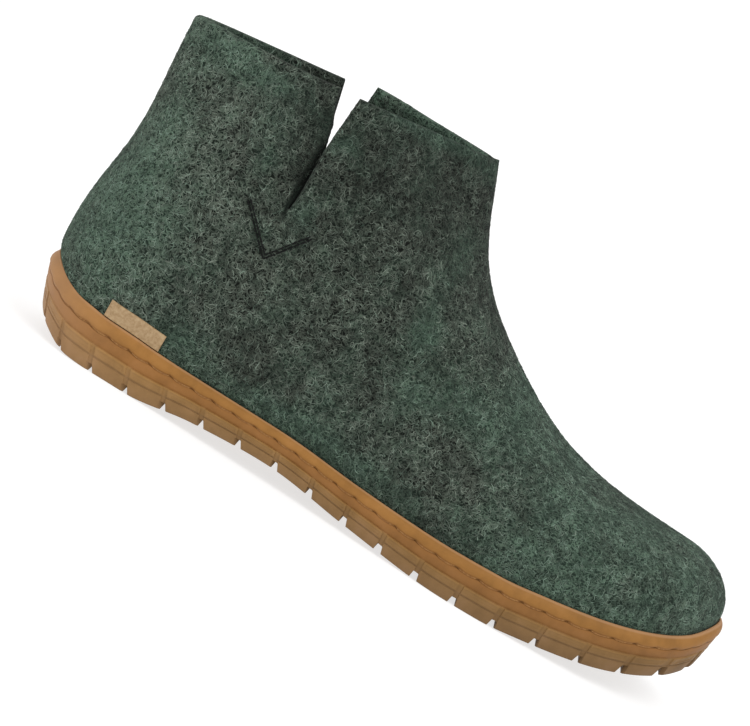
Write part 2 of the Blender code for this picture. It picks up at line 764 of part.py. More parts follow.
def build():
    for obj in list(bpy.data.objects):
        bpy.data.objects.remove(obj, do_unlink=True)
    parts = bpy.data.collections.new("felt boot")
    cutters = bpy.data.collections.new("cutters")
    for collection in (parts, cutters):
        bpy.context.scene.collection.children.link(collection)
    felt = new_material("green_felt", (0.055, 0.085, 0.070), 0.95)
    rubber = new_material("honey_rubber", (0.38, 0.17, 0.055), 0.55)
    lining = new_material("insole_felt", (0.10, 0.105, 0.095), 0.95)
    leather = new_material("label_leather", (0.45, 0.30, 0.17), 0.70)
    pieces = [
        make_outsole(rubber, parts, cutters),
        make_upper(felt, parts, cutters),
        make_insole(lining, parts),
        make_label(leather, parts),
    ]
    middle_x, middle_y = box_middle()
    base = bpy.data.objects.new("boot origin", None)
    parts.objects.link(base)
    base.location = (-middle_x, -middle_y, 0.0)
    for obj in pieces + list(cutters.objects):
        obj.parent = base


build()
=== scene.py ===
import bpy
import numpy as np
from mathutils import Matrix


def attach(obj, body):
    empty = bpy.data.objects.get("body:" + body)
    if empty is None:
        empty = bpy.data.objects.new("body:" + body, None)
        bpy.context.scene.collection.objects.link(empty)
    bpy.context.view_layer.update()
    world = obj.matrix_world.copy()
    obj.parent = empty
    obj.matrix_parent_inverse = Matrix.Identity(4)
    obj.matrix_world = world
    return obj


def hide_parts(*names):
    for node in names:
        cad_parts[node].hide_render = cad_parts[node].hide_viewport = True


# Looks of an ankle-high felt boot on a rubber cup sole. Sizes are in millimetres in the sole's own frame:
# +X to the toe, +Y to the inner side, +Z up, with x 0 halfway along the rubber. Meshes are written in metres
# in the boot's own frame.

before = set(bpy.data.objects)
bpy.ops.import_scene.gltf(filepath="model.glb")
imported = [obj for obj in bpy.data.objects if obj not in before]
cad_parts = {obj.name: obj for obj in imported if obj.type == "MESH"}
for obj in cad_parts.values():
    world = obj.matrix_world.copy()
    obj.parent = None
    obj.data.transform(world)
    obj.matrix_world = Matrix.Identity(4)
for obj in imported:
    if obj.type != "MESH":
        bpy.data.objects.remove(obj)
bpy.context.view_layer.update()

MM = 0.001

# Sole
SOLE_LENGTH = 288.4
HEEL_WIDTH = 68
WAIST_WIDTH = 74
BALL_WIDTH = 103
TOE_WIDTH = 97
HEEL_ROUND = 34
TOE_ROUND = 52
WAIST_SHIFT = 3.5
TOE_SHIFT = 7
HEEL_SPRING = 9
ARCH_HEIGHT = 6.2
TOE_SPRING = 20.2
HEEL_SIDE = 20.5
WAIST_SIDE = 13.5
BALL_SIDE = 18.2
TOE_SIDE = 18.6
HEEL_FLOOR = 10.5
WAIST_FLOOR = 7.5
BALL_FLOOR = 9
RAND_THICKNESS = 2.5
HEEL_UNDERCUT = 6
SIDE_UNDERCUT = 2
TOE_UNDERCUT = 2.4
BLOCK_STEP = 0.5
BLOCK_TOP = 0.475
WALL_TOP = 0.85
LIP_START = 0.9
END_FILL = 0.6
END_REACH = 0.05
CUP_UNDERCUT = 0.5
GROOVE_START = 4.5
HEEL_PITCH = 15.1
TOE_PITCH = 18.6
SLOT_WIDTH = 2
SLOT_WALL = 0.06
PANEL_MARGIN = 1.05
PANEL_WALL = 0.15
PLACE_STEP = 1.25
PLACE_GAP = 0.35
NOTCH_WIDTH = 3.4
NOTCH_TOP_WIDTH = 2.4
NOTCH_HEIGHT = 2.8
NOTCH_REACH = 20
NOTCH_SLANT = 1.5
# How much wider and higher the notches get toward the toe, each from a station and over a run of them
TOE_NOTCH_SPREAD, SPREAD_START, SPREAD_RUN = 0.9, 0.8, 0.15
TOE_NOTCH_RISE, RISE_START, RISE_RUN = 0.5, 0.85, 0.1
STITCH_PITCH = 9.1
STITCH_SAG = 0.6
THREAD_LEVEL = 0.728
THREAD_CUT = 0.09
THREAD_DEPTH = 0.68
THREAD_RADIUS = 0.34
STITCH_SPAN = (0.06, 0.94)
# Where the side follows the scallop of the stitches: start, rise, end and fall in shares of its height
SCALLOP_LEVELS = (0.66, 0.05, 0.84, 0.07)

# Felt shell
FELT_WALL = 5
HEEL_BULGE = 3.6
LIP_TUCK = 1.5
SIDE_BULGE = 2.6
BULGE_RISE = 11
TOE_HEIGHT = 58.2
TOE_BOX = 25
COLLAR_BACK_HEIGHT = 131.2
COLLAR_FRONT_HEIGHT = 143.7
COLLAR_LENGTH = 124.6
COUNTER_WIDTH = 71
ANKLE_WIDTH = 69
COLLAR_WIDTH = 80
COLLAR_ROUND = 44
FOLD_ROUND = 6
BACK_FLARE = 0.34
FRONT_FLARE = 0.60
FLAP_STEP = 2.5
FLAP_STEP_RUN = 10
FOLD_LOW = 68
FOLD_HIGH = 128
FOLD_BLEND = 8
INSTEP_ROUND = 62
RIDGE_SHIFT = 5
RIDGE_RISE = 50
LEG_LOW = 6
LEG_HIGH = 58
LEG_BACK = 0.40
LEG_FRONT = 0.66
VAULT_START = 0.22
VAMP_END = 12
RIB_CROWDING = 1.4
BACK_FADE = 6
SLIT_FROM_BACK = 67.3
SLIT_DEPTH = 49
SLIT_CUT = 0.9
SLIT_LEAN = 1.0
OPENING_BEHIND = 0.77
OUTER_SLIT = (7.8, 23)
INNER_SLIT = (12, 38)
FRONT_FLAP_SAG = 0.9
REAR_FLAP_SAG = 0.4
FLAP_SAG_RUN = 34
REAR_SHADE = 4.4
REAR_DARKNESS = 0.62
LINE_BEHIND = 0.5
LINE_WIDTH = 1.1
LINE_DARKNESS = 0.97
# Where both shades lie along the slit: start, rise, end and fall in shares of its depth
REAR_SHARES = (0.0, 0.32, 1.04, 0.3)
LINE_SHARES = (0.34, 0.12, 1.16, 0.14)
CHEVRON_TIP = (-74.7, 70.0)
CHEVRON_ENDS = ((-90.9, 85.5), (-63.1, 85.7))
CHEVRON_WIDTH = 1.3
CHEVRON_SHADE = 0.3
CHEVRON_STITCH = 2.5
CHEVRON_GAP = 1.1
CHEVRON_RADIUS = 0.3
CHEVRON_SPAN = (0.03, 0.97)
CHEVRON_RISE = 0.2
CHEVRON_ARCH = 0.12
EDGE_ROUND = 2.2
# Counts of ribs and rows in the felt's mesh, and how much they crowd toward the slit and the edge
RIBS_BEHIND, BEHIND_CROWDING = 58, 1.6
RIBS_AHEAD, AHEAD_CROWDING = 52, 1.45
RIBS_VAMP = 88
# Ribs up to this share stand upright, from this rise up, and over this run of shares they come to lean
UPRIGHT_RIBS, UPRIGHT_RISE, UPRIGHT_RUN = 0.32, 0.5, 0.25
# Share of ribs that the slit's edge pulls along on each side, and the height over which the pull sets in
SLIT_PULL, SLIT_PULL_RISE = 0.17, 30
# The edge's rounding fades toward the slit's lower end, over this height and this near to the slit
ROUND_FADE, ROUND_REACH = 8, 16
ROWS, ROW_CROWDING = 98, 1.5

# Insole and label
INSOLE_THICKNESS = 4
LABEL_LENGTH = 24
LABEL_HEIGHT = 6.8
LABEL_THICKNESS = 0.9
LABEL_FROM_HEEL = 30.1
LABEL_CLEARANCE = 0.4
LABEL_EDGE = 0.35
LABEL_WAVE = 0.12
FIT_GAP = 0.3

HEEL_X = -SOLE_LENGTH / 2
TOE_X = SOLE_LENGTH / 2
FELT_INSET = RAND_THICKNESS + FIT_GAP
OUTER_SIDE = -1
INNER_SIDE = 1
SIDES = (OUTER_SIDE, INNER_SIDE)

# Columns: station, width, shift of the middle toward the inner side, shift of the instep ridge
PLAN = (
    (0.00, HEEL_WIDTH, 0.00, 0.00),
    (0.14, HEEL_WIDTH, 0.00, 0.00),
    (0.40, WAIST_WIDTH, -WAIST_SHIFT, 0.00),
    (0.56, 0.45 * WAIST_WIDTH + 0.55 * BALL_WIDTH, -0.6 * WAIST_SHIFT, 0.45 * RIDGE_SHIFT),
    (0.69, BALL_WIDTH, 0.15 * TOE_SHIFT, 0.80 * RIDGE_SHIFT),
    (0.84, 0.2 * BALL_WIDTH + 0.8 * TOE_WIDTH, 0.70 * TOE_SHIFT, 0.30 * RIDGE_SHIFT + 0.60 * TOE_SHIFT),
    (1.00, TOE_WIDTH, TOE_SHIFT, TOE_SHIFT),
)

# Columns: station, rise of the underside, height of the side, thickness under the cup floor
SOLE_SIDE = (
    (0.00, HEEL_SPRING, 0.97 * HEEL_SIDE, 0.60 * HEEL_FLOOR),
    (0.03, 0.46 * HEEL_SPRING, 0.98 * HEEL_SIDE, 0.70 * HEEL_FLOOR),
    (0.07, 0.04 * HEEL_SPRING, 1.03 * HEEL_SIDE, 0.94 * HEEL_FLOOR),
    (0.11, 0.00, HEEL_SIDE, HEEL_FLOOR),
    (0.16, 0.00, 0.97 * HEEL_SIDE, HEEL_FLOOR),
    (0.26, 0.67 * ARCH_HEIGHT, 0.5 * HEEL_SIDE + 0.37 * WAIST_SIDE, 0.3 * HEEL_FLOOR + 0.7 * WAIST_FLOOR),
    (0.37, ARCH_HEIGHT, WAIST_SIDE, WAIST_FLOOR),
    (0.50, 0.46 * ARCH_HEIGHT, 0.7 * WAIST_SIDE + 0.31 * BALL_SIDE, WAIST_FLOOR),
    (0.65, 0.00, 0.97 * BALL_SIDE, BALL_FLOOR),
    (0.71, 0.00, BALL_SIDE, BALL_FLOOR),
    (0.78, 0.08 * TOE_SPRING, 1.02 * BALL_SIDE, BALL_FLOOR),
    (0.86, 0.25 * TOE_SPRING, TOE_SIDE, BALL_FLOOR),
    (0.92, 0.46 * TOE_SPRING, 0.98 * TOE_SIDE, BALL_FLOOR),
    (0.965, 0.70 * TOE_SPRING, 0.96 * TOE_SIDE, 0.97 * BALL_FLOOR),
    (1.00, TOE_SPRING, 1.03 * TOE_SIDE, 0.95 * BALL_FLOOR),
)

# Columns: share of the back's height, distance behind the foot of the back line
BACK_LINE = (
    (0.00, LIP_TUCK),
    (0.03, 0.74 * HEEL_BULGE),
    (0.08, 0.92 * HEEL_BULGE),
    (0.17, HEEL_BULGE),
    (0.27, 0.83 * HEEL_BULGE),
    (0.40, 0.36 * HEEL_BULGE),
    (0.51, 0.06 * HEEL_BULGE),
    (0.58, 0.04 * HEEL_BULGE),
    (0.70, 0.25 * HEEL_BULGE),
    (0.80, 0.53 * HEEL_BULGE),
    (0.90, 0.76 * HEEL_BULGE),
    (1.00, 0.92 * HEEL_BULGE),
)

# Columns: share of the way from toe top to collar front, share of the climb between them
VAMP_LINE = (
    (0.00, 0.000),
    (0.12, 0.006),
    (0.26, 0.026),
    (0.40, 0.074),
    (0.50, 0.136),
    (0.60, 0.223),
    (0.70, 0.327),
    (0.79, 0.436),
    (0.865, 0.564),
    (0.915, 0.692),
    (0.955, 0.831),
    (1.00, 1.000),
)

# Columns: share of the collar's length from its back, share of the climb of its edge
COLLAR_LINE = (
    (0.00, 0.00),
    (0.45, 0.46),
    (0.57, 0.68),
    (1.00, 1.00),
)

# Columns: share of the collar front's height, width of the leg, depth of its round front
LEG_SECTIONS = (
    (0.20, COUNTER_WIDTH, 1.5 * INSTEP_ROUND),
    (0.42, 0.5 * COUNTER_WIDTH + 0.5 * ANKLE_WIDTH, 1.2 * INSTEP_ROUND),
    (0.60, ANKLE_WIDTH, INSTEP_ROUND),
    (0.78, 0.6 * ANKLE_WIDTH + 0.4 * COLLAR_WIDTH, 0.4 * INSTEP_ROUND + 0.6 * COLLAR_ROUND),
    (1.00, COLLAR_WIDTH, COLLAR_ROUND),
)

# Columns: station, share of the side's bulge, power of the vault over the foot
VAULT = (
    (0.00, 1.0, 2.0),
    (0.45, 1.0, 1.5),
    (0.60, 0.8, 1.6),
    (0.75, 0.5, 2.0),
    (1.00, 0.1, 2.4),
)

# Section of the rubber's side, from its lower edge up over the lip and down inside the cup.
# Columns: share of the side's height, share of the undercut, inward step, sunk panel, zone of colour
SOLE_PROFILE = (
    (0.000, 0.90, 0.45, 0.00, 0.00),
    (0.010, 0.88, 0.14, 0.00, 0.00),
    (0.030, 0.86, 0.00, 0.00, 0.02),
    (0.130, 0.72, 0.00, 0.00, 0.05),
    (0.235, 0.57, 0.00, 0.00, 0.08),
    (0.256, 0.54, 0.08, 0.00, 0.08),
    (0.268, 0.53, 0.34, 0.00, 0.05),
    (0.290, 0.50, 0.34, 0.00, 0.05),
    (0.300, 0.49, 0.08, 0.00, 0.12),
    (0.320, 0.47, 0.00, 0.00, 0.16),
    (0.336, 0.45, 0.00, 0.00, 0.16),
    (0.344, 0.44, 0.00, 1.00, 0.16),
    (0.385, 0.39, 0.00, 1.00, 0.20),
    (0.427, 0.33, 0.00, 1.00, 0.20),
    (0.436, 0.32, 0.00, 0.00, 0.28),
    (0.455, 0.29, 0.02, 0.00, 0.30),
    (0.466, 0.28, 0.18, 0.00, 0.32),
    (0.476, 0.27, 0.60, 0.00, 0.40),
    (0.484, 0.26, 0.74, 0.00, 0.42),
    (0.500, 0.24, 0.60, 0.00, 0.50),
    (0.550, 0.17, 0.48, 0.00, 0.50),
    (0.600, 0.11, 0.42, 0.00, 0.50),
    (0.650, 0.06, 0.42, 0.00, 0.52),
    (0.690, 0.02, 0.46, 0.00, 0.55),
    (0.706, 0.00, 0.56, 0.00, 0.55),
    (0.716, 0.00, 0.92, 0.00, 0.55),
    (0.734, -0.02, 0.92, 0.00, 0.55),
    (0.744, -0.03, 0.52, 0.00, 0.70),
    (0.756, -0.05, 0.24, 0.00, 0.90),
    (0.780, -0.08, 0.08, 0.00, 0.96),
    (0.820, -0.08, 0.00, 0.00, 1.00),
    (0.870, -0.03, 0.04, 0.00, 1.00),
    (0.905, 0.03, 0.14, 0.00, 1.00),
    (0.930, 0.08, 0.30, 0.00, 1.00),
    (0.955, 0.13, 0.52, 0.00, 1.00),
    (0.978, 0.17, 0.84, 0.00, 1.00),
    (0.993, 0.19, 1.12, 0.00, 1.00),
    (1.000, 0.19, 1.36, 0.00, 1.00),
    (1.001, 0.13, 1.78, 0.00, 1.00),
    (0.996, 0.04, 2.28, 0.00, 0.90),
    (0.980, 0.00, 2.50, 0.00, 0.70),
)
PANEL_DEPTH = 0.16

# Painted shade on the rubber along the boot. Columns: station, share of lightness at the band, share at the
# lugs
SOLE_LIGHT = (
    (0.00, 1.00, 1.00),
    (0.15, 0.97, 0.98),
    (0.30, 0.93, 0.88),
    (0.50, 0.93, 0.80),
    (0.70, 0.84, 0.72),
    (1.00, 0.84, 0.62),
)
# Painted highlight at the lip's edge, paler rubber at the heel, and how far along the sole the heel's fades
RIM_HIGHLIGHT = 0.45
PALE_HEEL = 0.42
PALE_REACH = 0.09
TREAD_INSETS = (1.2, 2.5, 5, 8, 12, 16, 19.4, 20.4)
TREAD_REACH = 24
# Painted shade under the tread, in the cup, in the slots and round the stitch holes
TREAD_SHADE = 0.10
CUP_SHADE = 0.2
SLOT_SHADE = 0.05
HOLE_SHADE = 0.24
HOLE_RADIUS = 0.5
HOLE_LEVELS = (0.70, 0.76)
# The holes' and groove's painted shade is weaker by this share up to a station, full after a run of them
HOLE_FAINTER, HOLE_START, HOLE_RUN = 0.5, 0.5, 0.25
# Height shares: where the lugs' painted shade turns into the band's, and where the rim's painted highlight
# starts
BAND_START, BAND_RUN = 0.3, 0.5
RIM_START, RIM_RUN = 0.955, 0.03
# Painted shade in the grooves of the sole's side. Columns: from and to in shares of its height, strength
SHADED_GROOVES = (
    (0.262, 0.295, 0.12),
    (0.470, 0.490, 0.08),
    (0.710, 0.740, 0.36),
)


def table_value(rows, column, place):
    """A column's value at a place in the first column, on a smooth curve that never overshoots its rows."""
    knots = np.array([row[0] for row in rows])
    values = np.array([row[column] for row in rows])
    steps = np.diff(knots)
    rates = np.diff(values) / steps
    product = rates[:-1] * rates[1:]
    total = np.where(product > 0, rates[:-1] + rates[1:], 1.0)
    slopes = np.concatenate(([rates[0]], np.where(product > 0, 2 * product / total, 0.0), [rates[-1]]))
    place = np.clip(place, knots[0], knots[-1])
    i = np.clip(np.searchsorted(knots, place, side="right") - 1, 0, len(steps) - 1)
    t = (place - knots[i]) / steps[i]
    start = values[i] * (1 + 2 * t) * (1 - t) ** 2 + slopes[i] * steps[i] * t * (1 - t) ** 2
    end = values[i + 1] * t * t * (3 - 2 * t) - slopes[i + 1] * steps[i] * t * t * (1 - t)
    return start + end


def held(share):
    """A share held between 0 and 1."""
    return np.clip(share, 0.0, 1.0)


def ease(share):
    """A smooth step from 0 to 1: 3 t squared minus 2 t cubed."""
    share = held(share)
    return share * share * (3 - 2 * share)


def bell(distance):
    """A soft spot: e to the minus squared distance."""
    return np.exp(-distance ** 2)


def swell(share):
    """A rise from 0 to 1 that starts steeply: 1 minus (1 - t) squared."""
    return 1 - (1 - held(share)) ** 2


def round_end(share):
    """A quarter circle: the root of 1 minus (1 - t) squared."""
    return np.sqrt(1 - (1 - held(share)) ** 2)


def crowd_ends(share):
    """Half a cosine wave: shares from 0 to 1 moved closer together at both ends."""
    return (1 - np.cos(np.pi * share)) / 2


def between(value, low, rise, high, fall):
    """1 between two places: an eased rise from the low one, times an eased fall to the high one."""
    return ease((value - low) / rise) * ease((high - value) / fall)


def unit(vectors):
    """Each vector divided by its length."""
    return vectors / np.maximum(np.linalg.norm(vectors, axis=-1, keepdims=True), 1e-9)


def line_length(x, y):
    """Length from the first point of a line to each of its points."""
    return np.concatenate(([0.0], np.cumsum(np.hypot(np.diff(x), np.diff(y)))))


# Lines of the sole

def station(x):
    """Share of the sole's length at x."""
    return (x - HEEL_X) / SOLE_LENGTH


def outline(share, side, heel_inset=0.0, side_inset=0.0, toe_inset=0.0):
    """The sole seen from above: half the width, rounded at both ends, to one side of a curved middle line."""
    x = HEEL_X + heel_inset + share * (SOLE_LENGTH - heel_inset - toe_inset)
    width = table_value(PLAN, 1, station(x)) / 2 - side_inset
    width = width * round_end((x - HEEL_X - heel_inset) / (HEEL_ROUND - heel_inset))
    width = width * round_end((TOE_X - toe_inset - x) / (TOE_ROUND - toe_inset))
    return x, table_value(PLAN, 2, station(x)) + side * width


def underside(share):
    """Height of the tread's lower edge: the table's curve with heel spring, arch and toe spring."""
    return table_value(SOLE_SIDE, 1, share)


def lip(share):
    """Height of the rand's upper edge: the underside plus the side's height."""
    return underside(share) + table_value(SOLE_SIDE, 2, share)


def tread_share(x):
    """Share along the underside, which is shorter than the rand above it."""
    length = SOLE_LENGTH - HEEL_UNDERCUT - TOE_UNDERCUT
    return held((x - HEEL_X - HEEL_UNDERCUT) / length)


def cup_floor(x):
    """Height of the cup's floor: the underside plus the thickness under it."""
    return underside(tread_share(x)) + table_value(SOLE_SIDE, 3, tread_share(x))


def thin_lip(share):
    """How much thinner the rand's lip is than its wall: most at the heel's end, and fading along the boot."""
    return LIP_TUCK * (1 - held(share)) ** BACK_FADE


def undercut_insets(share, step):
    """Insets at heel, side and toe: a share of each undercut plus a step inward."""
    return share * HEEL_UNDERCUT + step, share * SIDE_UNDERCUT + step, share * TOE_UNDERCUT + step


# Lines of the felt shell

def back_x(z):
    """The back line: the heel's x less the table's bulge at that height."""
    share = (z - lip(0.0)) / (COLLAR_BACK_HEIGHT - lip(0.0))
    return HEEL_X + FELT_INSET - table_value(BACK_LINE, 1, share)


COLLAR_BACK_X = back_x(COLLAR_BACK_HEIGHT)
COLLAR_FRONT_X = COLLAR_BACK_X + COLLAR_LENGTH
SLIT_X = COLLAR_BACK_X + SLIT_FROM_BACK


def collar_height(x):
    """Height of the collar's edge: its back height plus the table's share of the climb."""
    climb = COLLAR_FRONT_HEIGHT - COLLAR_BACK_HEIGHT
    return COLLAR_BACK_HEIGHT + climb * table_value(COLLAR_LINE, 1, (x - COLLAR_BACK_X) / COLLAR_LENGTH)


SLIT_TOP = collar_height(SLIT_X)


def vamp_curve():
    """The line from toe top to collar front, as x and z, from the table's shares of both."""
    start = np.array((TOE_X - FELT_INSET - TOE_BOX, TOE_HEIGHT))
    end = np.array((COLLAR_FRONT_X, COLLAR_FRONT_HEIGHT))
    place = np.linspace(0.0, 1.0, 401)
    shares = np.stack((place, table_value(VAMP_LINE, 1, place)), axis=1)
    return start + shares * (end - start)


VAMP = vamp_curve()


def ridge_height(x):
    """Height of the vamp line over x: a quarter ellipse at the nose, a straight run behind the collar."""
    last = VAMP[-1]
    before = VAMP[np.searchsorted(VAMP[:, 1], last[1] - VAMP_END)]
    slope = (last[1] - before[1]) / (last[0] - before[0])
    on_vamp = np.interp(x, VAMP[::-1, 0], VAMP[::-1, 1])
    height = np.where(x < last[0], last[1] + slope * (x - last[0]), on_vamp)
    reach = held((x - TOE_X + FELT_INSET + TOE_BOX) / TOE_BOX)
    nose = lip(1.0) + (TOE_HEIGHT - lip(1.0)) * np.sqrt(1 - reach ** 2)
    return np.where(x > VAMP[0, 0], nose, height)


def top_height(x):
    """Height of the felt's upper border over x: the collar, then the vamp and nose."""
    return np.where(x < COLLAR_FRONT_X, collar_height(x), ridge_height(x))


def side_top(x, side):
    """Top height of one side: on the inner side the front flap is higher by the slit, the rear one lower."""
    front = FRONT_FLAP_SAG * (1 - ease((x - SLIT_X) / FLAP_SAG_RUN)) * (x > SLIT_X)
    rear = REAR_FLAP_SAG * (1 - ease((SLIT_X - x) / FLAP_SAG_RUN)) * (x <= SLIT_X)
    return top_height(x) + side * (front - rear)


def felt_lip(x):
    """Height of the rand's lip beside the felt at x."""
    return lip((x - HEEL_X - FELT_INSET) / (SOLE_LENGTH - 2 * FELT_INSET))


def foot_half_width(x, z):
    """Half width round the foot: a bulged side times the root of 1 minus a power of the height's share."""
    rise = z - felt_lip(x)
    bulge = SIDE_BULGE * table_value(VAULT, 1, station(x)) * swell(rise / BULGE_RISE)
    bulge = np.maximum(bulge, thin_lip(station(x)))
    side = table_value(PLAN, 1, station(x)) / 2 - FELT_INSET + bulge
    side = side * round_end((TOE_X - FELT_INSET - x) / (TOE_ROUND - FELT_INSET))
    share = rise / np.maximum(ridge_height(x) - felt_lip(x), 0.001)
    share = held((share - VAULT_START) / (1 - VAULT_START))
    return side * np.sqrt(1 - share ** table_value(VAULT, 2, station(x)))


def front_x(z):
    """The x of the vamp line at a height, for the leg."""
    return np.interp(z, VAMP[:, 1], VAMP[:, 0])


def leg_half_width(x, z):
    """Half width of the upright leg: an oval from back line to vamp line."""
    width, depth = (table_value(LEG_SECTIONS, column, z / COLLAR_FRONT_HEIGHT) for column in (1, 2))
    return width / 2 * round_end((front_x(z) - x) / depth)


def fold_half_width(x, z):
    """Half width near the collar: the least of two rounded wedges and a flat width, joined by high powers."""
    back, front = (np.sqrt((flare * away) ** 2 + 2 * FOLD_ROUND * away) for flare, away in (
        (BACK_FLARE, np.maximum(x - back_x(z), 0.001)), (FRONT_FLARE, np.maximum(front_x(z) - x, 0.001))))
    back = back + FLAP_STEP * ease((x - SLIT_X) / FLAP_STEP_RUN + 1 / 2)
    return sum(width ** -FOLD_BLEND for width in (back, front, COLLAR_WIDTH / 2)) ** (-1 / FOLD_BLEND)


def felt_side(x, z, side):
    """The felt's outer y in its side view: foot and leg widths mixed, about a middle line that leans."""
    rise = z - felt_lip(x)
    upward = ease((rise - LEG_LOW) / (LEG_HIGH - LEG_LOW))
    leg = upward * ease((LEG_FRONT - station(x)) / (LEG_FRONT - LEG_BACK))
    half = foot_half_width(x, z) * (1 - leg) + leg_half_width(x, z) * leg
    back = HEEL_ROUND - FELT_INSET + (COLLAR_ROUND - HEEL_ROUND) * ease(rise / COLLAR_BACK_HEIGHT)
    half = half * round_end((x - back_x(z)) / back)
    fold = upward * ease((z - FOLD_LOW) / (FOLD_HIGH - FOLD_LOW))
    half = half * (1 - fold) + fold_half_width(x, z) * fold
    middle = table_value(PLAN, 2, station(x))
    middle = middle + (table_value(PLAN, 3, station(x)) - middle) * ease(rise / RIDGE_RISE)
    return middle + side * half


def sole_middle():
    """Middle of the boot's box seen from above, where its own frame has its origin."""
    share = np.linspace(0.0, 1.0, 401)
    outer = outline(share, OUTER_SIDE)[1].min()
    inner = outline(share, INNER_SIDE)[1].max()
    back = back_x(np.linspace(lip(0.0), COLLAR_BACK_HEIGHT, 401)).min()
    return np.array(((min(back, HEEL_X) + TOE_X) / 2, (outer + inner) / 2, 0.0))


MIDDLE = sole_middle()


# Making pieces

def quad_grid(rows, columns, around=False):
    """Faces of a grid of points kept row after row, each from a point to its neighbours ahead and above."""
    row = np.arange(rows - 1)[:, None] * columns
    here = np.arange(columns if around else columns - 1)
    a, b = row + here, row + (here + 1) % columns
    return np.stack((a, b, b + columns, a + columns), axis=-1).reshape(-1, 4)


def repeated(faces, count, size):
    """The faces of one strand with so many points, again for each of all the strands."""
    return (faces[None] + (np.arange(count) * size)[:, None, None]).reshape(-1, faces.shape[1]).tolist()


def new_object(name, data):
    """An object linked to the scene."""
    item = bpy.data.objects.new(name, data)
    bpy.context.scene.collection.objects.link(item)
    return item


def new_piece(name, points, faces, material, replaces=(), attributes=None, sharp=None):
    """A mesh of points in the sole's frame, written in the boot's own frame, that rides on the boot."""
    mesh = bpy.data.meshes.new(name)
    world = (np.asarray(points, float) - MIDDLE) * MM
    # A face that names a corner twice, where points were welded, keeps it once
    loops = [list(dict.fromkeys(face)) for face in faces]
    mesh.from_pydata(world, [], [loop for loop in loops if len(loop) > 2])
    mesh.validate()
    mesh.shade_smooth()
    if sharp:
        mesh.set_sharp_from_angle(angle=np.radians(sharp))
    for key, values in (attributes or {}).items():
        layer = mesh.attributes.new(key, "FLOAT", "POINT").data
        layer.foreach_set("value", np.asarray(values, np.float32).ravel())
    mesh.materials.append(material)
    piece = new_object(name, mesh)
    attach(piece, "root")
    if replaces:
        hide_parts(*replaces)


def make_cords(name, material, lines, radius):
    """Round cords along pairs of a side and lines on it: a circle across each line, narrowed at both ends."""
    sides, blunt = 6, 0.35
    normals = np.concatenate([np.broadcast_to((0.0, side, 0.0), line.shape) for side, line in lines])
    lines = np.concatenate([line for _, line in lines])
    count, length = lines.shape[:2]
    along = unit(np.gradient(lines, axis=1))
    across = unit(np.cross(normals, along))
    up = np.cross(along, across)
    angle = (np.arange(sides) * 2 * np.pi / sides)[:, None]
    place = np.linspace(0.0, 1.0, length)
    width = radius * (blunt + (1 - blunt) * round_end(np.minimum(place, 1 - place) * 5))
    ring = across[:, :, None] * np.cos(angle) + up[:, :, None] * np.sin(angle)
    points = lines[:, :, None] + ring * width[None, :, None, None]
    low = np.arange(sides)[None]
    high = (length - 1) * sides + low[:, ::-1]
    parts = (quad_grid(length, sides, around=True)[:, ::-1], low, high)
    faces = [face for part in parts for face in repeated(part, count, length * sides)]
    new_piece(name, points.reshape(-1, 3), faces, material)


# Materials

def linear(code):
    """An sRGB hex colour as linear values: the power curve above 0.04045 and the straight line below it."""
    value = np.array([int(code[i:i + 2], 16) for i in (1, 3, 5)]) / 255
    low = value / 12.92
    high = ((value + 0.055) / 1.055) ** 2.4
    return (*np.where(value <= 0.04045, low, high), 1.0)


def new_material(name, roughness, **sockets):
    """A material with one principled shader and its plain values set on the shader's own sockets."""
    material = bpy.data.materials.new(name)
    material.use_nodes = True
    shader = material.node_tree.nodes["Principled BSDF"]
    shader.inputs["Roughness"].default_value = roughness
    for key, value in sockets.items():
        shader.inputs[key.replace("_", " ")].default_value = value
    return material, shader


def add(material, kind, links=None, out=0, **settings):
    """Adds a shader node and gives one of its outputs. Links go to its inputs, settings to the node."""
    tree = material.node_tree
    node = tree.nodes.new("ShaderNode" + kind)
    for key, value in settings.items():
        setattr(node, key, value)
    for key, value in (links or {}).items():
        if hasattr(value, "is_output"):
            tree.links.new(value, node.inputs[key])
        else:
            node.inputs[key].default_value = value
    return node.outputs[out]


def plug(shader, **sources):
    """Links outputs to the shader's own sockets."""
    for key, source in sources.items():
        shader.id_data.links.new(source, shader.inputs[key.replace("_", " ")])


def ramp(material, factor, *stops):
    """A colour ramp through (place, colour) stops."""
    colour = add(material, "ValToRGB", {"Fac": factor})
    elements = colour.node.color_ramp.elements
    while len(elements) < len(stops):
        elements.new(0.5)
    for element, (place, tone) in zip(elements, stops):
        element.position = place
        element.color = tone
    return colour


def grey(value):
    """An even linear grey."""
    return (value, value, value, 1.0)


# A mix node has several inputs called A and B, so the ones for colour and their output go by number
MIX_A, MIX_B, MIXED = 6, 7, 2


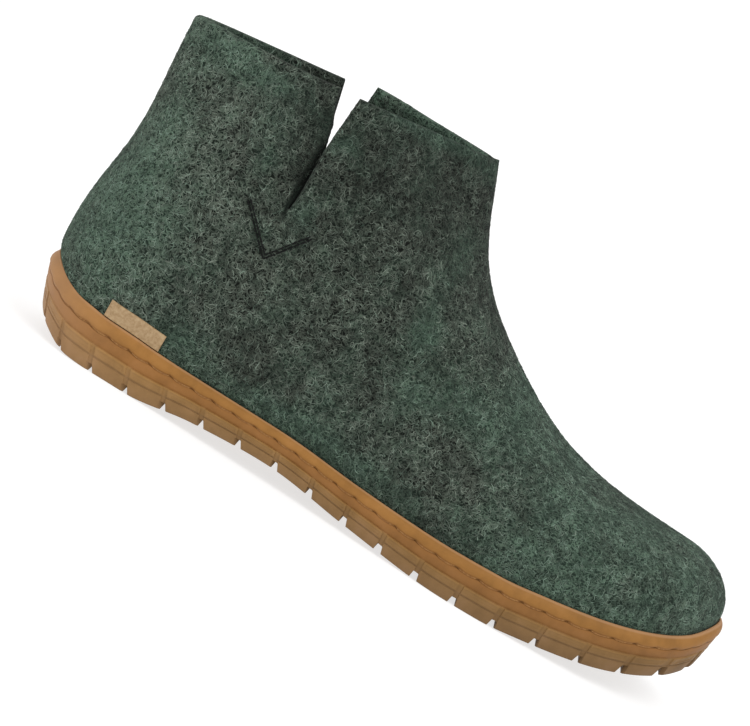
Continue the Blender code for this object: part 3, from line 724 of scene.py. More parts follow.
def wool_colour(material, coords, gap_shades_and_dyes, patch, tone):
    """Dyed grey-brown and green carded wool with dark gaps of painted shade, in clumps about 4 mm across."""
    dark, deep_green, grey_tone, green_tone = map(linear, gap_shades_and_dyes)
    clump = add(material, "TexNoise", {"Vector": coords, "Scale": 270.0, "Detail": 4.0, "Roughness": 0.6})
    firm = add(material, "MapRange", {"Value": clump, "From Min": 0.38, "From Max": 0.62,
                                      "To Min": 0.56, "To Max": 1.40})
    drift = add(material, "TexNoise", {"Vector": coords, "Scale": 75.0, "Detail": 2.0, "Roughness": 0.5})
    spread = add(material, "MapRange", {"Value": drift, "From Min": 0.35, "From Max": 0.65,
                                        "To Min": 0.74, "To Max": 1.22})
    tone = add(material, "Math", {0: tone, 1: firm}, operation="MULTIPLY")
    tone = add(material, "Math", {0: tone, 1: spread}, operation="MULTIPLY", use_clamp=True)
    # The greens mix with the greys by patch, and then the wool with its gaps by tone
    ends = [add(material, "Mix", {"Factor": patch, MIX_A: one, MIX_B: other}, MIXED, data_type="RGBA")
            for one, other in ((dark, deep_green), (grey_tone, green_tone))]
    return add(material, "Mix", {"Factor": tone, MIX_A: ends[0], MIX_B: ends[1]}, MIXED, data_type="RGBA")


def wool_felt(name, *gap_shades_and_dyes):
    """Wet-felted wool sheet: fully matt, cloudy, with fibre tangles about a millimetre apart."""
    material, shader = new_material(name, 1.0, Specular_IOR_Level=0.08, Sheen_Weight=0.04,
                                    Sheen_Roughness=0.6)
    coords = add(material, "TexCoord", out="Object")
    tangle = add(material, "TexNoise", {"Vector": coords, "Scale": 820.0, "Detail": 2.0, "Roughness": 0.6,
                                        "Offset": 0.9, "Gain": 1.2, "Distortion": 0.8},
                 noise_type="RIDGED_MULTIFRACTAL", normalize=False)
    cloud = add(material, "TexNoise", {"Vector": coords, "Scale": 85.0, "Detail": 3.0, "Roughness": 0.55})
    patch, light = (add(material, "Attribute", out="Fac", attribute_name=key) for key in ("green", "light"))
    mixed = add(material, "Math", {0: cloud, 1: 2.2, 2: -1.1}, operation="MULTIPLY_ADD")
    green = add(material, "Math", {0: patch, 1: mixed}, operation="ADD", use_clamp=True)
    tone = add(material, "MapRange", {"Value": tangle, "From Min": 0.35, "From Max": 1.45})
    # The light attribute is painted light and shade: it darkens the wool toward its gaps
    lit = add(material, "Math", {0: tone, 1: light}, operation="MULTIPLY")
    plug(shader, Base_Color=wool_colour(material, coords, gap_shades_and_dyes, green, lit),
         Normal=add(material, "Bump", {"Height": tangle, "Strength": 0.7, "Distance": 0.0005}))
    return material


def wool_fibre(name, *gap_shades_and_dyes):
    """Loose crimped wool fibres on the felt's face: matt, each of its own tone between dark and pale."""
    material, shader = new_material(name, 0.9, Specular_IOR_Level=0.2)
    coords = add(material, "TexCoord", out="Object")
    patch, light = (add(material, "Attribute", out="Fac", attribute_name=key) for key in ("green", "light"))
    # The light attribute, painted light and shade, sets each fibre's tone
    plug(shader, Base_Color=wool_colour(material, coords, gap_shades_and_dyes, patch, light))
    return material


def natural_rubber():
    """Moulded natural rubber: satin, honey-coloured, more orange at the lip and greyer on the worn lugs."""
    material, shader = new_material("natural_rubber", 0.6, Specular_IOR_Level=0.2)
    coords = add(material, "TexCoord", out="Object")
    zone, pale, painted_shade = (add(material, "Attribute", out="Fac", attribute_name=key)
                        for key in ("zone", "pale", "painted_shade"))
    shade = add(material, "Attribute", out="Color", attribute_name="shade")
    colour = ramp(material, zone, (0.0, linear("#8b6b45")), (0.30, linear("#997340")),
                  (0.5, linear("#936533")), (0.75, linear("#92622c")), (1.0, linear("#9a6b32")))
    cloud = add(material, "TexNoise", {"Vector": coords, "Scale": 120.0, "Detail": 4.0, "Roughness": 0.6})
    # Linear factors, some above 1, that turn the body's colour a little from cloud to cloud
    cast = ramp(material, cloud, (0.30, (0.81, 0.80, 0.80, 1.0)), (0.52, (0.97, 0.97, 1.0, 1.0)),
                (0.72, (1.08, 1.10, 1.30, 1.0)))
    # Painted shade along the boot; paler heel rubber and a painted highlight at the lip; dark brown painted
    # shade in hollows
    for factor, other, blend in ((1.0, cast, "MULTIPLY"), (1.0, shade, "MULTIPLY"),
                                 (pale, linear("#b48d6c"), "MIX"), (painted_shade, linear("#3d2613"), "MIX")):
        colour = add(material, "Mix", {"Factor": factor, MIX_A: colour, MIX_B: other}, MIXED,
                     data_type="RGBA", blend_type=blend)
    # Fine moulding grain, about 0.4 mm
    grain = add(material, "TexNoise", {"Vector": coords, "Scale": 2600.0, "Detail": 2.0, "Roughness": 0.5})
    plug(shader, Base_Color=colour,
         Normal=add(material, "Bump", {"Height": grain, "Strength": 0.25, "Distance": 0.0002}))
    return material


def label_leather():
    """Undyed vegetable-tanned leather: pale tan, smooth with fine pores about 0.4 mm apart."""
    material, shader = new_material("vegetable_tanned_leather", 0.7, Specular_IOR_Level=0.3)
    coords = add(material, "TexCoord", out="Object")
    pores = add(material, "TexVoronoi", {"Vector": coords, "Scale": 2600.0, "Randomness": 1.0})
    cloud = add(material, "TexNoise", {"Vector": coords, "Scale": 700.0, "Detail": 4.0, "Roughness": 0.7})
    tan = ramp(material, cloud, (0.3, linear("#8c714e")), (0.5, linear("#a38865")), (0.72, linear("#b29a77")))
    plug(shader, Base_Color=tan,
         Normal=add(material, "Bump", {"Height": pores, "Strength": 0.3, "Distance": 0.0001}))
    return material


def sewing_thread(name, low, high, roughness):
    """Twisted sewing thread: two tones where its plies turn, about 0.7 mm apart."""
    material, shader = new_material(name, roughness, Specular_IOR_Level=0.3)
    coords = add(material, "TexCoord", out="Object")
    twist = add(material, "TexNoise", {"Vector": coords, "Scale": 1500.0, "Detail": 1.0})
    plug(shader, Base_Color=ramp(material, twist, (0.35, linear(low)), (0.65, linear(high))))
    return material


# Colour of the felt

# Green clouds in the grey wool. Columns: x, z, half length, half height, strength
GREEN_CLOUDS = (
    (-131, 52, 26, 30, 0.9),
    (-128, 127, 22, 11, 0.75),
    (-131, 88, 10, 20, 0.5),
    (-98, 113, 7, 8, 0.6),
    (-92, 100, 4, 8, 0.45),
    (-102, 127, 20, 4, 0.5),
    (-71, 121, 5, 5, 0.8),
    (-70, 91, 6, 7, 0.75),
    (-80, 78, 5, 6, 0.4),
    (-53, 140, 12, 4, 0.8),
    (-33, 141, 14, 4, 0.8),
    (-13, 92, 5, 22, 0.5),
    (-8, 77, 6, 8, 0.75),
    (-1, 58, 10, 11, 0.7),
    (20, 62, 14, 10, 0.75),
    (36, 76, 8, 12, 0.6),
    (-86, 27, 16, 8, 0.7),
    (-45, 24, 24, 6, 0.7),
    (-10, 24, 30, 7, 0.75),
    (-60, 58, 8, 8, 0.3),
    (-30, 40, 10, 9, 0.35),
)
# Grey clouds in the green wool of the toe, with the same columns
GREY_CLOUDS = (
    (48, 46, 9, 7, 0.35),
    (28, 40, 8, 6, 0.4),
    (84, 62, 8, 5, 0.25),
    (100, 40, 7, 6, 0.25),
    (124, 33, 6, 5, 0.3),
)
# Darker at the throat, with the same columns
DARK_CLOUDS = ((-35, 118, 32, 26, 0.16),)
BASE_GREEN = 0.12
# Green of the toe: its strength, the x and z where it starts, the lean of that line, and its run
TOE_GREEN, TOE_GREEN_START, TOE_GREEN_LEAN, TOE_GREEN_RUN = 0.72, (12, 60), 0.25, 50
# Strength of the green and of the shade right above the rand, and how far up each fades
RAND_GREEN, RAND_GREEN_RISE = 0.35, 4
RAND_SHADE, RAND_SHADE_RISE = 0.36, 2.8
# Strength of the shade up the shaft, its lower end and its run
SHAFT_SHADE, SHAFT_LOW, SHAFT_RUN = 0.26, 80, 35
# Lining's painted shade, then painted light and green gained ahead of the slit and up the shaft, over these
# runs
LINING_LIGHT, LINING_FRONT_LIGHT, LINING_FRONT_GREEN = 0.5, 1.5, 0.45
LINING_AHEAD, LINING_LOW, LINING_RUN = 6, 112, 22
# Wool's tone and painted light along the boot. Columns: station, share of the felt's own lightness
WOOL_LIGHT = (
    (0.00, 2.30),
    (0.10, 1.88),
    (0.20, 1.18),
    (0.33, 1.06),
    (0.45, 1.02),
    (0.58, 1.12),
    (0.75, 1.26),
    (1.00, 1.38),
)


def clouds(rows, x, z):
    """Sum of soft spots: each its strength times e to the minus squared distance in its own half sizes."""
    total = np.zeros_like(x)
    for cx, cz, length, height, strength in rows:
        total += strength * bell((x - cx) / length) * bell((z - cz) / height)
    return total


def near_rand(x, z, rise):
    """Nearness to the rand's lip: e to the minus height above it over a rise."""
    return np.exp(-np.maximum(z - felt_lip(x), 0.0) / rise)


def green_share(points):
    """Share of green wool: the listed clouds, and green all over the toe and along the rand."""
    x, z = points[..., 0], points[..., 2]
    start_x, start_z = TOE_GREEN_START
    toe = TOE_GREEN * ease((x - start_x - TOE_GREEN_LEAN * (start_z - z)) / TOE_GREEN_RUN)
    rand = RAND_GREEN * near_rand(x, z, RAND_GREEN_RISE)
    return held(BASE_GREEN + clouds(GREEN_CLOUDS, x, z) + toe + rand - clouds(GREY_CLOUDS, x, z))


def line_gap(x, z, start, end):
    """Distance in the side view from the straight line between two points."""
    along = np.array(end) - np.array(start)
    place = held(((x - start[0]) * along[0] + (z - start[1]) * along[1]) / (along ** 2).sum())
    return np.hypot(x - start[0] - place * along[0], z - start[1] - place * along[1])


def slit_shade(x, y, z):
    """Painted shade by the slit: broad on the rear flap's edge, and a narrow line where it closes."""
    total = np.zeros_like(x)
    down = slit_depth_share(z)
    for side in SIDES:
        rear, front = slit_edges(z, side)
        behind = REAR_DARKNESS * bell(np.maximum(rear - x, 0.0) / REAR_SHADE) * (x <= (rear + front) / 2)
        line = LINE_DARKNESS * bell(((x - rear + LINE_BEHIND) / LINE_WIDTH) ** 2)
        shade = np.maximum(between(down, *REAR_SHARES) * behind, between(down, *LINE_SHARES) * line)
        total = np.maximum(total, shade * (y * side > 0))
    return total


def chevron_shade(x, z):
    """Painted shade along the two arms of the V of stitches under each slit, where creases pull the felt in.
    """
    total = np.zeros_like(x)
    for end in CHEVRON_ENDS:
        total = np.maximum(total, bell(line_gap(x, z, CHEVRON_TIP, end) / CHEVRON_WIDTH))
    return CHEVRON_SHADE * total


def wool_light(points):
    """Wool tone and painted light along the boot; less at throat; painted shade at rand, shaft, slit,
    chevron.
    """
    x, y, z = points[..., 0], points[..., 1], points[..., 2]
    lit = table_value(WOOL_LIGHT, 1, station(x)) - clouds(DARK_CLOUDS, x, z)
    lit = lit - RAND_SHADE * near_rand(x, z, RAND_SHADE_RISE)
    lit = lit - SHAFT_SHADE * ease((z - SHAFT_LOW) / SHAFT_RUN)
    return lit * (1 - slit_shade(x, y, z)) * (1 - chevron_shade(x, z))


# Felt shell

def slit_depth_share(z):
    """Share of the way down the slit, 0 at the collar and 1 at its lower end."""
    return (SLIT_TOP - z) / SLIT_DEPTH


def slit_edges(z, side):
    """The x of the slit's rear and front edge: a lean below the wedge, and a wedge that opens upward."""
    opening, mouth = OUTER_SLIT if side == OUTER_SIDE else INNER_SLIT
    down = SLIT_TOP - z
    middle = SLIT_X + SLIT_LEAN * held((down - mouth) / (SLIT_DEPTH - mouth))
    spread = opening * np.clip(1 - down / mouth, 0.0, None)
    half = np.where(down <= SLIT_DEPTH, SLIT_CUT / 2, 0.0)
    return middle - half - OPENING_BEHIND * spread, middle + half + (1 - OPENING_BEHIND) * spread


def collar_rib(x):
    """The rib that ends at x on the collar: its share runs with half a cosine wave along the collar."""
    return np.arccos(np.clip(1 - 2 * (x - COLLAR_BACK_X) / COLLAR_LENGTH, -1, 1)) / np.pi / 2


def rib_shares():
    """Shares of all ribs: crowded at the back line, at both edges of the slit and at the collar's front."""
    behind = 1 - (1 - np.linspace(0, 1, RIBS_BEHIND)) ** BEHIND_CROWDING
    behind = collar_rib(COLLAR_BACK_X + SLIT_FROM_BACK * behind)
    ahead = np.linspace(0, 1, RIBS_AHEAD) ** AHEAD_CROWDING
    ahead = collar_rib(SLIT_X + (COLLAR_FRONT_X - SLIT_X) * ahead)
    vamp = 0.5 + 0.5 * np.linspace(0, 1, RIBS_VAMP)[1:]
    # Six even ribs take the place of the first three, so that the back line is as fine as the rest
    behind = np.concatenate((np.linspace(0, behind[3], 7)[:-1], behind[3:]))
    return np.concatenate((behind, ahead, vamp)), len(behind) - 1


RIBS, SLIT_RIB = rib_shares()
ROW_SHARES = 1 - (1 - np.linspace(0, 1, ROWS)) ** ROW_CROWDING
FIRST_VAMP_RIB = int(np.searchsorted(RIBS, 0.5))


def rib_top(share):
    """The x where a rib ends on the upper border: on the collar, or on the vamp by length along it."""
    x = np.linspace(COLLAR_FRONT_X, TOE_X - FELT_INSET, 401)
    length = line_length(x, ridge_height(x))
    along = 1 - (1 - held(2 * share - 1)) ** RIB_CROWDING
    on_collar = COLLAR_BACK_X + COLLAR_LENGTH * crowd_ends(held(2 * share))
    return np.where(share < 0.5, on_collar, np.interp(along * length[-1], length, x))


def felt_side_view(side):
    """Side view of one half of the shell: ribs, upright near the slit, and rows from rand to border."""
    share, rise = RIBS[:, None], ROW_SHARES[None]
    upright = 1 - ease((share - UPRIGHT_RIBS) / UPRIGHT_RUN)
    turned = rise * (1 - upright) + ease(rise / UPRIGHT_RISE) * upright
    low = HEEL_X + FELT_INSET + crowd_ends(share) * (SOLE_LENGTH - 2 * FELT_INSET)
    x = low * (1 - turned) + rib_top(share) * turned
    back_z = lip(0.0) + rise * (COLLAR_BACK_HEIGHT - lip(0.0))
    straight = x[0, 0] * (1 - turned[:1]) + COLLAR_BACK_X * turned[:1]
    x = x + (1 - crowd_ends(share)) ** BACK_FADE * (back_x(back_z) - straight)
    slit_z = felt_lip(x[SLIT_RIB]) + rise[0] * (top_height(x[SLIT_RIB]) - felt_lip(x[SLIT_RIB]))
    rear, front = slit_edges(slit_z, side)
    open_share = ease((slit_z - slit_z[0]) / SLIT_PULL_RISE)
    near = 1 - ease(np.abs(share - RIBS[SLIT_RIB]) / SLIT_PULL)
    shift = np.where(np.arange(len(RIBS))[:, None] <= SLIT_RIB, rear - x[SLIT_RIB], front - x[SLIT_RIB])
    x = x + near * shift * open_share
    return x, felt_lip(x) + rise * (side_top(x, side) - felt_lip(x))


# Creases and swellings of the felt. Columns: side, start x and z, end x and z, half width, depth inward
CREASES = (
    (OUTER_SIDE, -78.2, 113, -77.4, 88, 1.5, 1.5),
    (OUTER_SIDE, -81.5, 124, -77.5, 96, 3.6, 1.5),
    (OUTER_SIDE, -73.5, 112, -72.5, 97, 3.4, -0.7),
    (INNER_SIDE, -78.2, 100, -77.4, 88, 1.5, 1.3),
    (INNER_SIDE, -82.0, 118, -78.0, 97, 3.6, 1.3),
    (OUTER_SIDE, -140.0, 121.5, -124.0, 120.0, 1.3, 0.7),
    (OUTER_SIDE, -138.0, 124.5, -120.0, 124.0, 3.0, -0.5),
    (INNER_SIDE, -138.0, 120.0, -126.0, 119.0, 1.4, 0.5),
    *((side, *CHEVRON_TIP, *end, 1.1, 0.6) for side in SIDES for end in CHEVRON_ENDS),
    (OUTER_SIDE, -74.9, 84.0, -74.7, 76.0, 7.0, -0.9),
    (OUTER_SIDE, -120.0, 70.0, -96.0, 76.0, 11.0, 0.8),
    (OUTER_SIDE, -50.0, 78.0, -18.0, 66.0, 13.0, 0.7),
    (INNER_SIDE, -118.0, 72.0, -90.0, 74.0, 11.0, 0.9),
    (INNER_SIDE, -46.0, 80.0, -20.0, 70.0, 12.0, 0.8),
)


def crease_depth(x, z, side):
    """Inward depth: each crease's own times e to the minus squared distance from its line in half widths."""
    total = np.zeros_like(x)
    for where, x0, z0, x1, z1, width, depth in CREASES:
        if where == side:
            total += depth * bell(line_gap(x, z, (x0, z0), (x1, z1)) / width)
    return total


def edge_distance(x, z, side):
    """Distance in the side view to the nearest open edge: the collar's, or the slit's on that side."""
    collar = np.where(x < COLLAR_FRONT_X + 0.01, side_top(x, side) - z, 1e3)
    rear, front = slit_edges(z, side)
    slit = np.minimum(np.abs(x - rear), np.abs(x - front))
    below = np.maximum(slit_depth_share(z) - 1, 0.0) * SLIT_DEPTH
    return np.maximum(np.minimum(collar, np.hypot(slit, below)), 0.0)


def weld(points, faces):
    """Points at the same place become one. Gives these points, the faces on them and where each went."""
    keys = np.round(points / 0.002).astype(np.int64)
    index, inverse = np.unique(keys, axis=0, return_index=True, return_inverse=True)[1:]
    inverse = inverse.ravel()
    return points[index], inverse[faces], inverse


def vertex_normals(points, faces):
    """Each point's normal: the unit sum of the cross products of the diagonals of the faces round it."""
    corners = points[faces]
    across = np.cross(corners[:, 2] - corners[:, 0], corners[:, 3] - corners[:, 1])
    total = np.zeros_like(points)
    for k in range(4):
        np.add.at(total, faces[:, k], across)
    return unit(total)


def border_edges(faces):
    """Edges with a face on one side only, each in its face's own direction."""
    edges = np.concatenate([faces[:, (k, (k + 1) % 4)] for k in range(4)])
    edges = edges[edges[:, 0] != edges[:, 1]]
    keys = np.sort(edges, axis=1)
    single = keys[:, 0].astype(np.int64) * (keys.max() + 1) + keys[:, 1]
    first, counts = np.unique(single, return_index=True, return_counts=True)[1:]
    return edges[first[counts == 1]]


def thick_faces(faces, count):
    """Faces of a thick sheet: the outer face, the same turned inward, and a rim along each border."""
    rim = border_edges(faces)
    sides = np.stack((rim[:, 1], rim[:, 0], rim[:, 0] + count, rim[:, 1] + count), axis=1)
    return np.concatenate((faces, faces[:, ::-1] + count, sides)).tolist()


def felt_halves():
    """Both halves of the felt's outer face as grids: a tucked row under the rand, then the side view."""
    halves = []
    share = crowd_ends(RIBS)
    for side in SIDES:
        x, z = felt_side_view(side)
        y = felt_side(x, z, side)
        middle = felt_side(x, z, 0)
        y[0], y[-1] = middle[0], middle[-1]
        y[FIRST_VAMP_RIB:, -1] = middle[FIRST_VAMP_RIB:, -1]
        inset = FELT_INSET - thin_lip(share)
        y[:, 0] = outline(share, side, inset, inset, FELT_INSET)[1]
        tuck_x, tuck_y = outline(share, side, *undercut_insets(CUP_UNDERCUT, FELT_INSET))
        tuck = np.stack((tuck_x, tuck_y, cup_floor(tuck_x) + FIT_GAP), axis=1)
        halves.append(np.concatenate((tuck[:, None], np.stack((x, y, z), axis=2)), axis=1))
    return np.stack(halves)


def make_felt_shell(material):
    """The felt shell, and grids of its outer and inner face for the fibres that lie on them."""
    halves = felt_halves()
    ribs, rows = halves.shape[1:3]
    size = ribs * rows
    grid = quad_grid(ribs, rows)
    i, j = np.divmod(grid[:, 0], rows)
    faces = []
    for number, side in enumerate(SIDES):
        slit_open = (i == SLIT_RIB) & (halves[number, i, j, 2] > SLIT_TOP - SLIT_DEPTH)
        # Outward on the outer side: from a rib to the next one, then up
        order = (0, 3, 2, 1) if side == OUTER_SIDE else (1, 2, 3, 0)
        faces.append(grid[~slit_open][:, order] + number * size)
    points, faces, index = weld(halves.reshape(-1, 3), np.concatenate(faces))
    number = np.empty(len(points), int)
    number[index] = np.repeat((0, 1), size)
    normals = vertex_normals(points, faces)
    push = np.zeros(len(points))
    rounding = np.zeros(len(points))
    for k, side in enumerate(SIDES):
        mine = number == k
        x, z = points[mine, 0], points[mine, 2]
        fade = ease((1 - slit_depth_share(z)) * SLIT_DEPTH / ROUND_FADE + 0.1)
        near_slit = (np.abs(x - SLIT_X) < ROUND_REACH) & (collar_height(x) - z > EDGE_ROUND)
        radius = EDGE_ROUND * np.where(near_slit, fade, 1.0)
        distance = np.minimum(edge_distance(x, z, side), radius)
        rounding[mine] = radius - np.sqrt(np.maximum(radius ** 2 - (radius - distance) ** 2, 0.0))
        push[mine] = crease_depth(x, z, side) * (z > felt_lip(x) + 1.0)
    outer = points - normals * (push + rounding)[:, None]
    inner = points - normals * (push + FELT_WALL - rounding)[:, None]
    count = len(points)
    both = np.concatenate((outer, inner))
    # Painted shade darkens the lining; painted light and more green inside the collar ahead of the slit
    front = ease((points[:, 0] - SLIT_X) / LINING_AHEAD) * ease((points[:, 2] - LINING_LOW) / LINING_RUN)
    light = wool_light(points)
    light = np.concatenate((light, (LINING_LIGHT + LINING_FRONT_LIGHT * front) * light))
    green = green_share(both) + np.concatenate((np.zeros(count), LINING_FRONT_GREEN * front))
    new_piece("felt_shell", both, thick_faces(faces, count), material, ("upper",),
              {"green": green, "light": light}, sharp=70)
    return [values[index].reshape(halves.shape) for values in (outer, inner, normals)]


# Loose wool fibres

def wrapped(side, i, j, ribs, rows):
    """Grid places that run past the back line or the vamp ridge go on down the other side."""
    past_back = i < 0
    side = np.where(past_back, 1 - side, side)
    i = np.abs(i)
    past_ridge = (j > rows - 1) & (i > FIRST_VAMP_RIB)
    side = np.where(past_ridge, 1 - side, side)
    j = np.where(past_ridge, 2 * (rows - 1) - j, j)
    return side, np.clip(i, 0, ribs - 1.001), np.clip(j, 0, rows - 1.001)


def on_grid(grids, side, i, j):
    """Values of the grids between four neighbours, by shares of the way."""
    ribs, rows = grids[0].shape[1:3]
    side, i, j = wrapped(side, i, j, ribs, rows)
    a, b = i.astype(int), j.astype(int)
    s, t = (i - a)[:, None], (j - b)[:, None]
    return [g[side, a, b] * (1 - s) * (1 - t) + g[side, a + 1, b] * s * (1 - t)
            + g[side, a, b + 1] * (1 - s) * t + g[side, a + 1, b + 1] * s * t for g in grids]


# Fibres keep this far from the grid's border, in cells, and no step is further than so many cells
BORDER_GAP = 1.2
LONGEST_JUMP = 12
# A fibre is kept where every step is between these two shares of its due length
STEP_SHARES = (0.25, 2.5)
SWAY_TURN = 1.9
FIBRE_TILT = 0.5
FIBRE_CLEARANCE = 0.02
FIBRE_TIP = 0.45
TONE_SPREAD = (1.3, 2.4)
GREEN_SPREAD = 0.28
# Fibres of the lining: their share in the foot, and the height and run in which they get more
FOOT_SHARE, SHARE_LOW, SHARE_RUN = 0.05, 60, 50


def grow_fibres(face, normals, count, seed, steps, lengths, curl, region):
    """Crimped fibres on a face: from a random place each walks on in short steps while its heading turns."""
    random = np.random.default_rng(seed)
    ribs, rows = face.shape[1:3]
    cells = face[:, 1:, 1:] - face[:, :-1, :-1]
    other = face[:, 1:, :-1] - face[:, :-1, 1:]
    area = np.linalg.norm(np.cross(cells, other), axis=-1) * region(face[:, :-1, :-1])
    area[:, SLIT_RIB] = 0.0
    area[:, :, 0] = 0.0
    chosen = random.choice(area.size, size=count, p=(area / area.sum()).ravel())
    side, i, j = np.unravel_index(chosen, area.shape)
    i = i + random.random(count)
    j = j + random.random(count)
    step = random.uniform(*lengths, count) / steps
    heading = random.uniform(0, 2 * np.pi, count)
    bend = random.normal(0, curl, count)
    sway = random.normal(0, curl, count)
    phase = random.uniform(0, 2 * np.pi, count)
    path, ups, places = [], [], []
    for k in range(steps + 1):
        point, up = on_grid((face, normals), side, i, j)
        path.append(point)
        ups.append(unit(up))
        places.append((i, j))
        # How far the face runs from one rib to the next, and from one row to the next
        reach_i, reach_j = (on_grid((face,), side, i + u, j + v)[0] - on_grid((face,), side, i - u, j - v)[0]
                            for u, v in ((0.5, 0.0), (0.0, 0.5)))
        e1 = unit(reach_i)
        e2 = unit(np.cross(ups[-1], e1))
        a, b = (reach_i * e1).sum(1), (reach_j * e1).sum(1)
        c, d = (reach_i * e2).sum(1), (reach_j * e2).sum(1)
        det = a * d - b * c
        det = np.where(np.abs(det) < 1e-3, 1e6, det)
        dx, dy = step * np.cos(heading), step * np.sin(heading)
        i = i + np.clip((d * dx - b * dy) / det, -LONGEST_JUMP, LONGEST_JUMP)
        j = j + np.clip((a * dy - c * dx) / det, -LONGEST_JUMP, LONGEST_JUMP)
        heading = heading + (bend + sway * np.sin(phase + SWAY_TURN * k)) * step
    path, ups = np.stack(path, axis=1), np.stack(ups, axis=1)
    i, j = (np.stack(values, axis=1) for values in zip(*places))
    # Whole ones leave out what runs under the rand, past the toe, over the collar's edge or across the slit
    whole = (j > BORDER_GAP).all(axis=1) & (i < ribs - 1.5).all(axis=1)
    whole &= ~((j > rows - BORDER_GAP) & (np.abs(i) < FIRST_VAMP_RIB + 1)).any(axis=1)
    low, high = np.abs(i).min(axis=1), np.abs(i).max(axis=1)
    slit_row = np.searchsorted(face[0, SLIT_RIB, :, 2], SLIT_TOP - SLIT_DEPTH) - 1
    whole &= ~((low < SLIT_RIB + 1) & (high > SLIT_RIB) & (j.max(axis=1) > slit_row))
    moved = np.linalg.norm(np.diff(path, axis=1), axis=2) / step[:, None]
    whole &= ((moved > STEP_SHARES[0]) & (moved < STEP_SHARES[1])).all(axis=1)
    return path[whole], ups[whole]


def everywhere(points):
    """The same share of fibres at every point."""
    return np.ones(points.shape[:-1])


def up_the_shaft(points):
    """A share of fibres that grows from the foot to the top of the shaft."""
    return ease((points[..., 2] - SHARE_LOW) / SHARE_RUN) + FOOT_SHARE


def make_fibres(material, face, normals, region, name, count, seed, steps, lengths, curl, widths, lifts,
                tones):
    """Flat ribbons along the fibres, arched a little off the felt and narrow at both ends, in one mesh."""
    path, ups = grow_fibres(face, normals, count, seed, steps, lengths, curl, region)
    random = np.random.default_rng(seed + 1)
    number, length = path.shape[:2]
    place = np.linspace(0, 1, length)[None]
    arch = random.uniform(*lifts, number)[:, None] * np.sin(np.pi * place) + FIBRE_CLEARANCE
    centre = path + ups * arch[:, :, None]
    along = unit(np.gradient(centre, axis=1))
    tilt = random.uniform(-FIBRE_TILT, FIBRE_TILT, number)[:, None, None]
    across = unit(np.cross(ups, along)) + ups * tilt
    taper = FIBRE_TIP + (1 - FIBRE_TIP) * np.sin(np.pi * np.clip(place, 0.04, 0.96))
    half = random.uniform(*widths, number)[:, None] / 2 * taper
    reach = across * half[:, :, None]
    points = np.stack((centre - reach, centre + reach), axis=2).reshape(-1, 3)
    faces = repeated(quad_grid(length, 2)[:, ::-1], number, length * 2)
    tone = (tones[0] + (tones[1] - tones[0]) * random.beta(*TONE_SPREAD, number))[:, None]
    green = held(green_share(path) + random.normal(0, GREEN_SPREAD, number)[:, None])
    shades = {"green": green, "light": tone * wool_light(path)}
    new_piece(name, points, faces, material, (),
              {key: np.repeat(values, 2, axis=1) for key, values in shades.items()})


# Rubber cup sole

def edge_lengths():
    """Shares along one side of the outline, and the length from the heel's end to each of them."""
    share = crowd_ends(np.linspace(0, 1, 2001))
    return share, line_length(*outline(share, OUTER_SIDE))


EDGE_SHARES, EDGE_LENGTHS = edge_lengths()


def sole_stations():
    """Places along one side of the outline: even steps, and close pairs at the walls of slots and notches."""
    total = EDGE_LENGTHS[-1]
    grooves = []
    place = GROOVE_START
    while place < total - TOE_PITCH / 2:
        grooves.append(place)
        place += HEEL_PITCH + (TOE_PITCH - HEEL_PITCH) * place / total
    grooves = np.array(grooves)
    slot, low, high = SLOT_WIDTH / 2, NOTCH_WIDTH / 2, NOTCH_TOP_WIDTH / 2
    offsets = np.array((slot - SLOT_WALL, slot + SLOT_WALL, high, low, low + PLACE_GAP, slot + PANEL_MARGIN,
                        slot + (PANEL_MARGIN + PANEL_WALL), 0.0))
    spread = 1 + TOE_NOTCH_SPREAD * ease((grooves / total - SPREAD_START) / SPREAD_RUN)
    near = (grooves[:, None] + spread[:, None] * np.concatenate((offsets, -offsets[:-1]))[None]).ravel()
    even = np.arange(0.0, total, PLACE_STEP)
    free = np.abs(even[:, None] - near[None]).min(axis=1) > PLACE_GAP
    inside = (near > 0.05) & (near < total - 0.05)
    places = np.unique(np.concatenate((even[free], near[inside], [0.0, total])))
    gap = (np.abs(places[:, None] - grooves[None]) / spread).min(axis=1)
    return places, np.interp(places, EDGE_LENGTHS, EDGE_SHARES), gap


def scallop(place):
    """The stitch line's height: it hangs down between two stitch holes as the rounded half wave of a sine."""
    return STITCH_SAG * (0.5 - np.abs(np.sin(np.pi * place / STITCH_PITCH)) ** 0.8)


def both_ways(outer, inner):
    """A ring from heel to toe with the outer side's values, and back with the inner side's."""
    return np.concatenate((outer, inner[-2:0:-1]))


def ring_points(shares, insets, height, pull=0.0):
    """A ring at insets and a height over x, pulled toward the middle line, and less where it is narrow."""
    rows = []
    for side in SIDES:
        x, y = outline(shares, side, *insets)
        middle = table_value(PLAN, 2, station(x))
        y = y + (middle - y) * pull / np.maximum(np.abs(y - middle), TREAD_REACH)
        rows.append(np.stack((x, y, height(x)), axis=1))
    return both_ways(*rows)


def notch_height(shares, gap):
    """Height of the notches in the tread's edge: slanted walls and a level top, higher toward the toe."""
    height = NOTCH_HEIGHT * (1 + TOE_NOTCH_RISE * ease((shares - RISE_START) / RISE_RUN))
    return height * held((NOTCH_WIDTH / 2 - gap) / ((NOTCH_WIDTH - NOTCH_TOP_WIDTH) / 2))


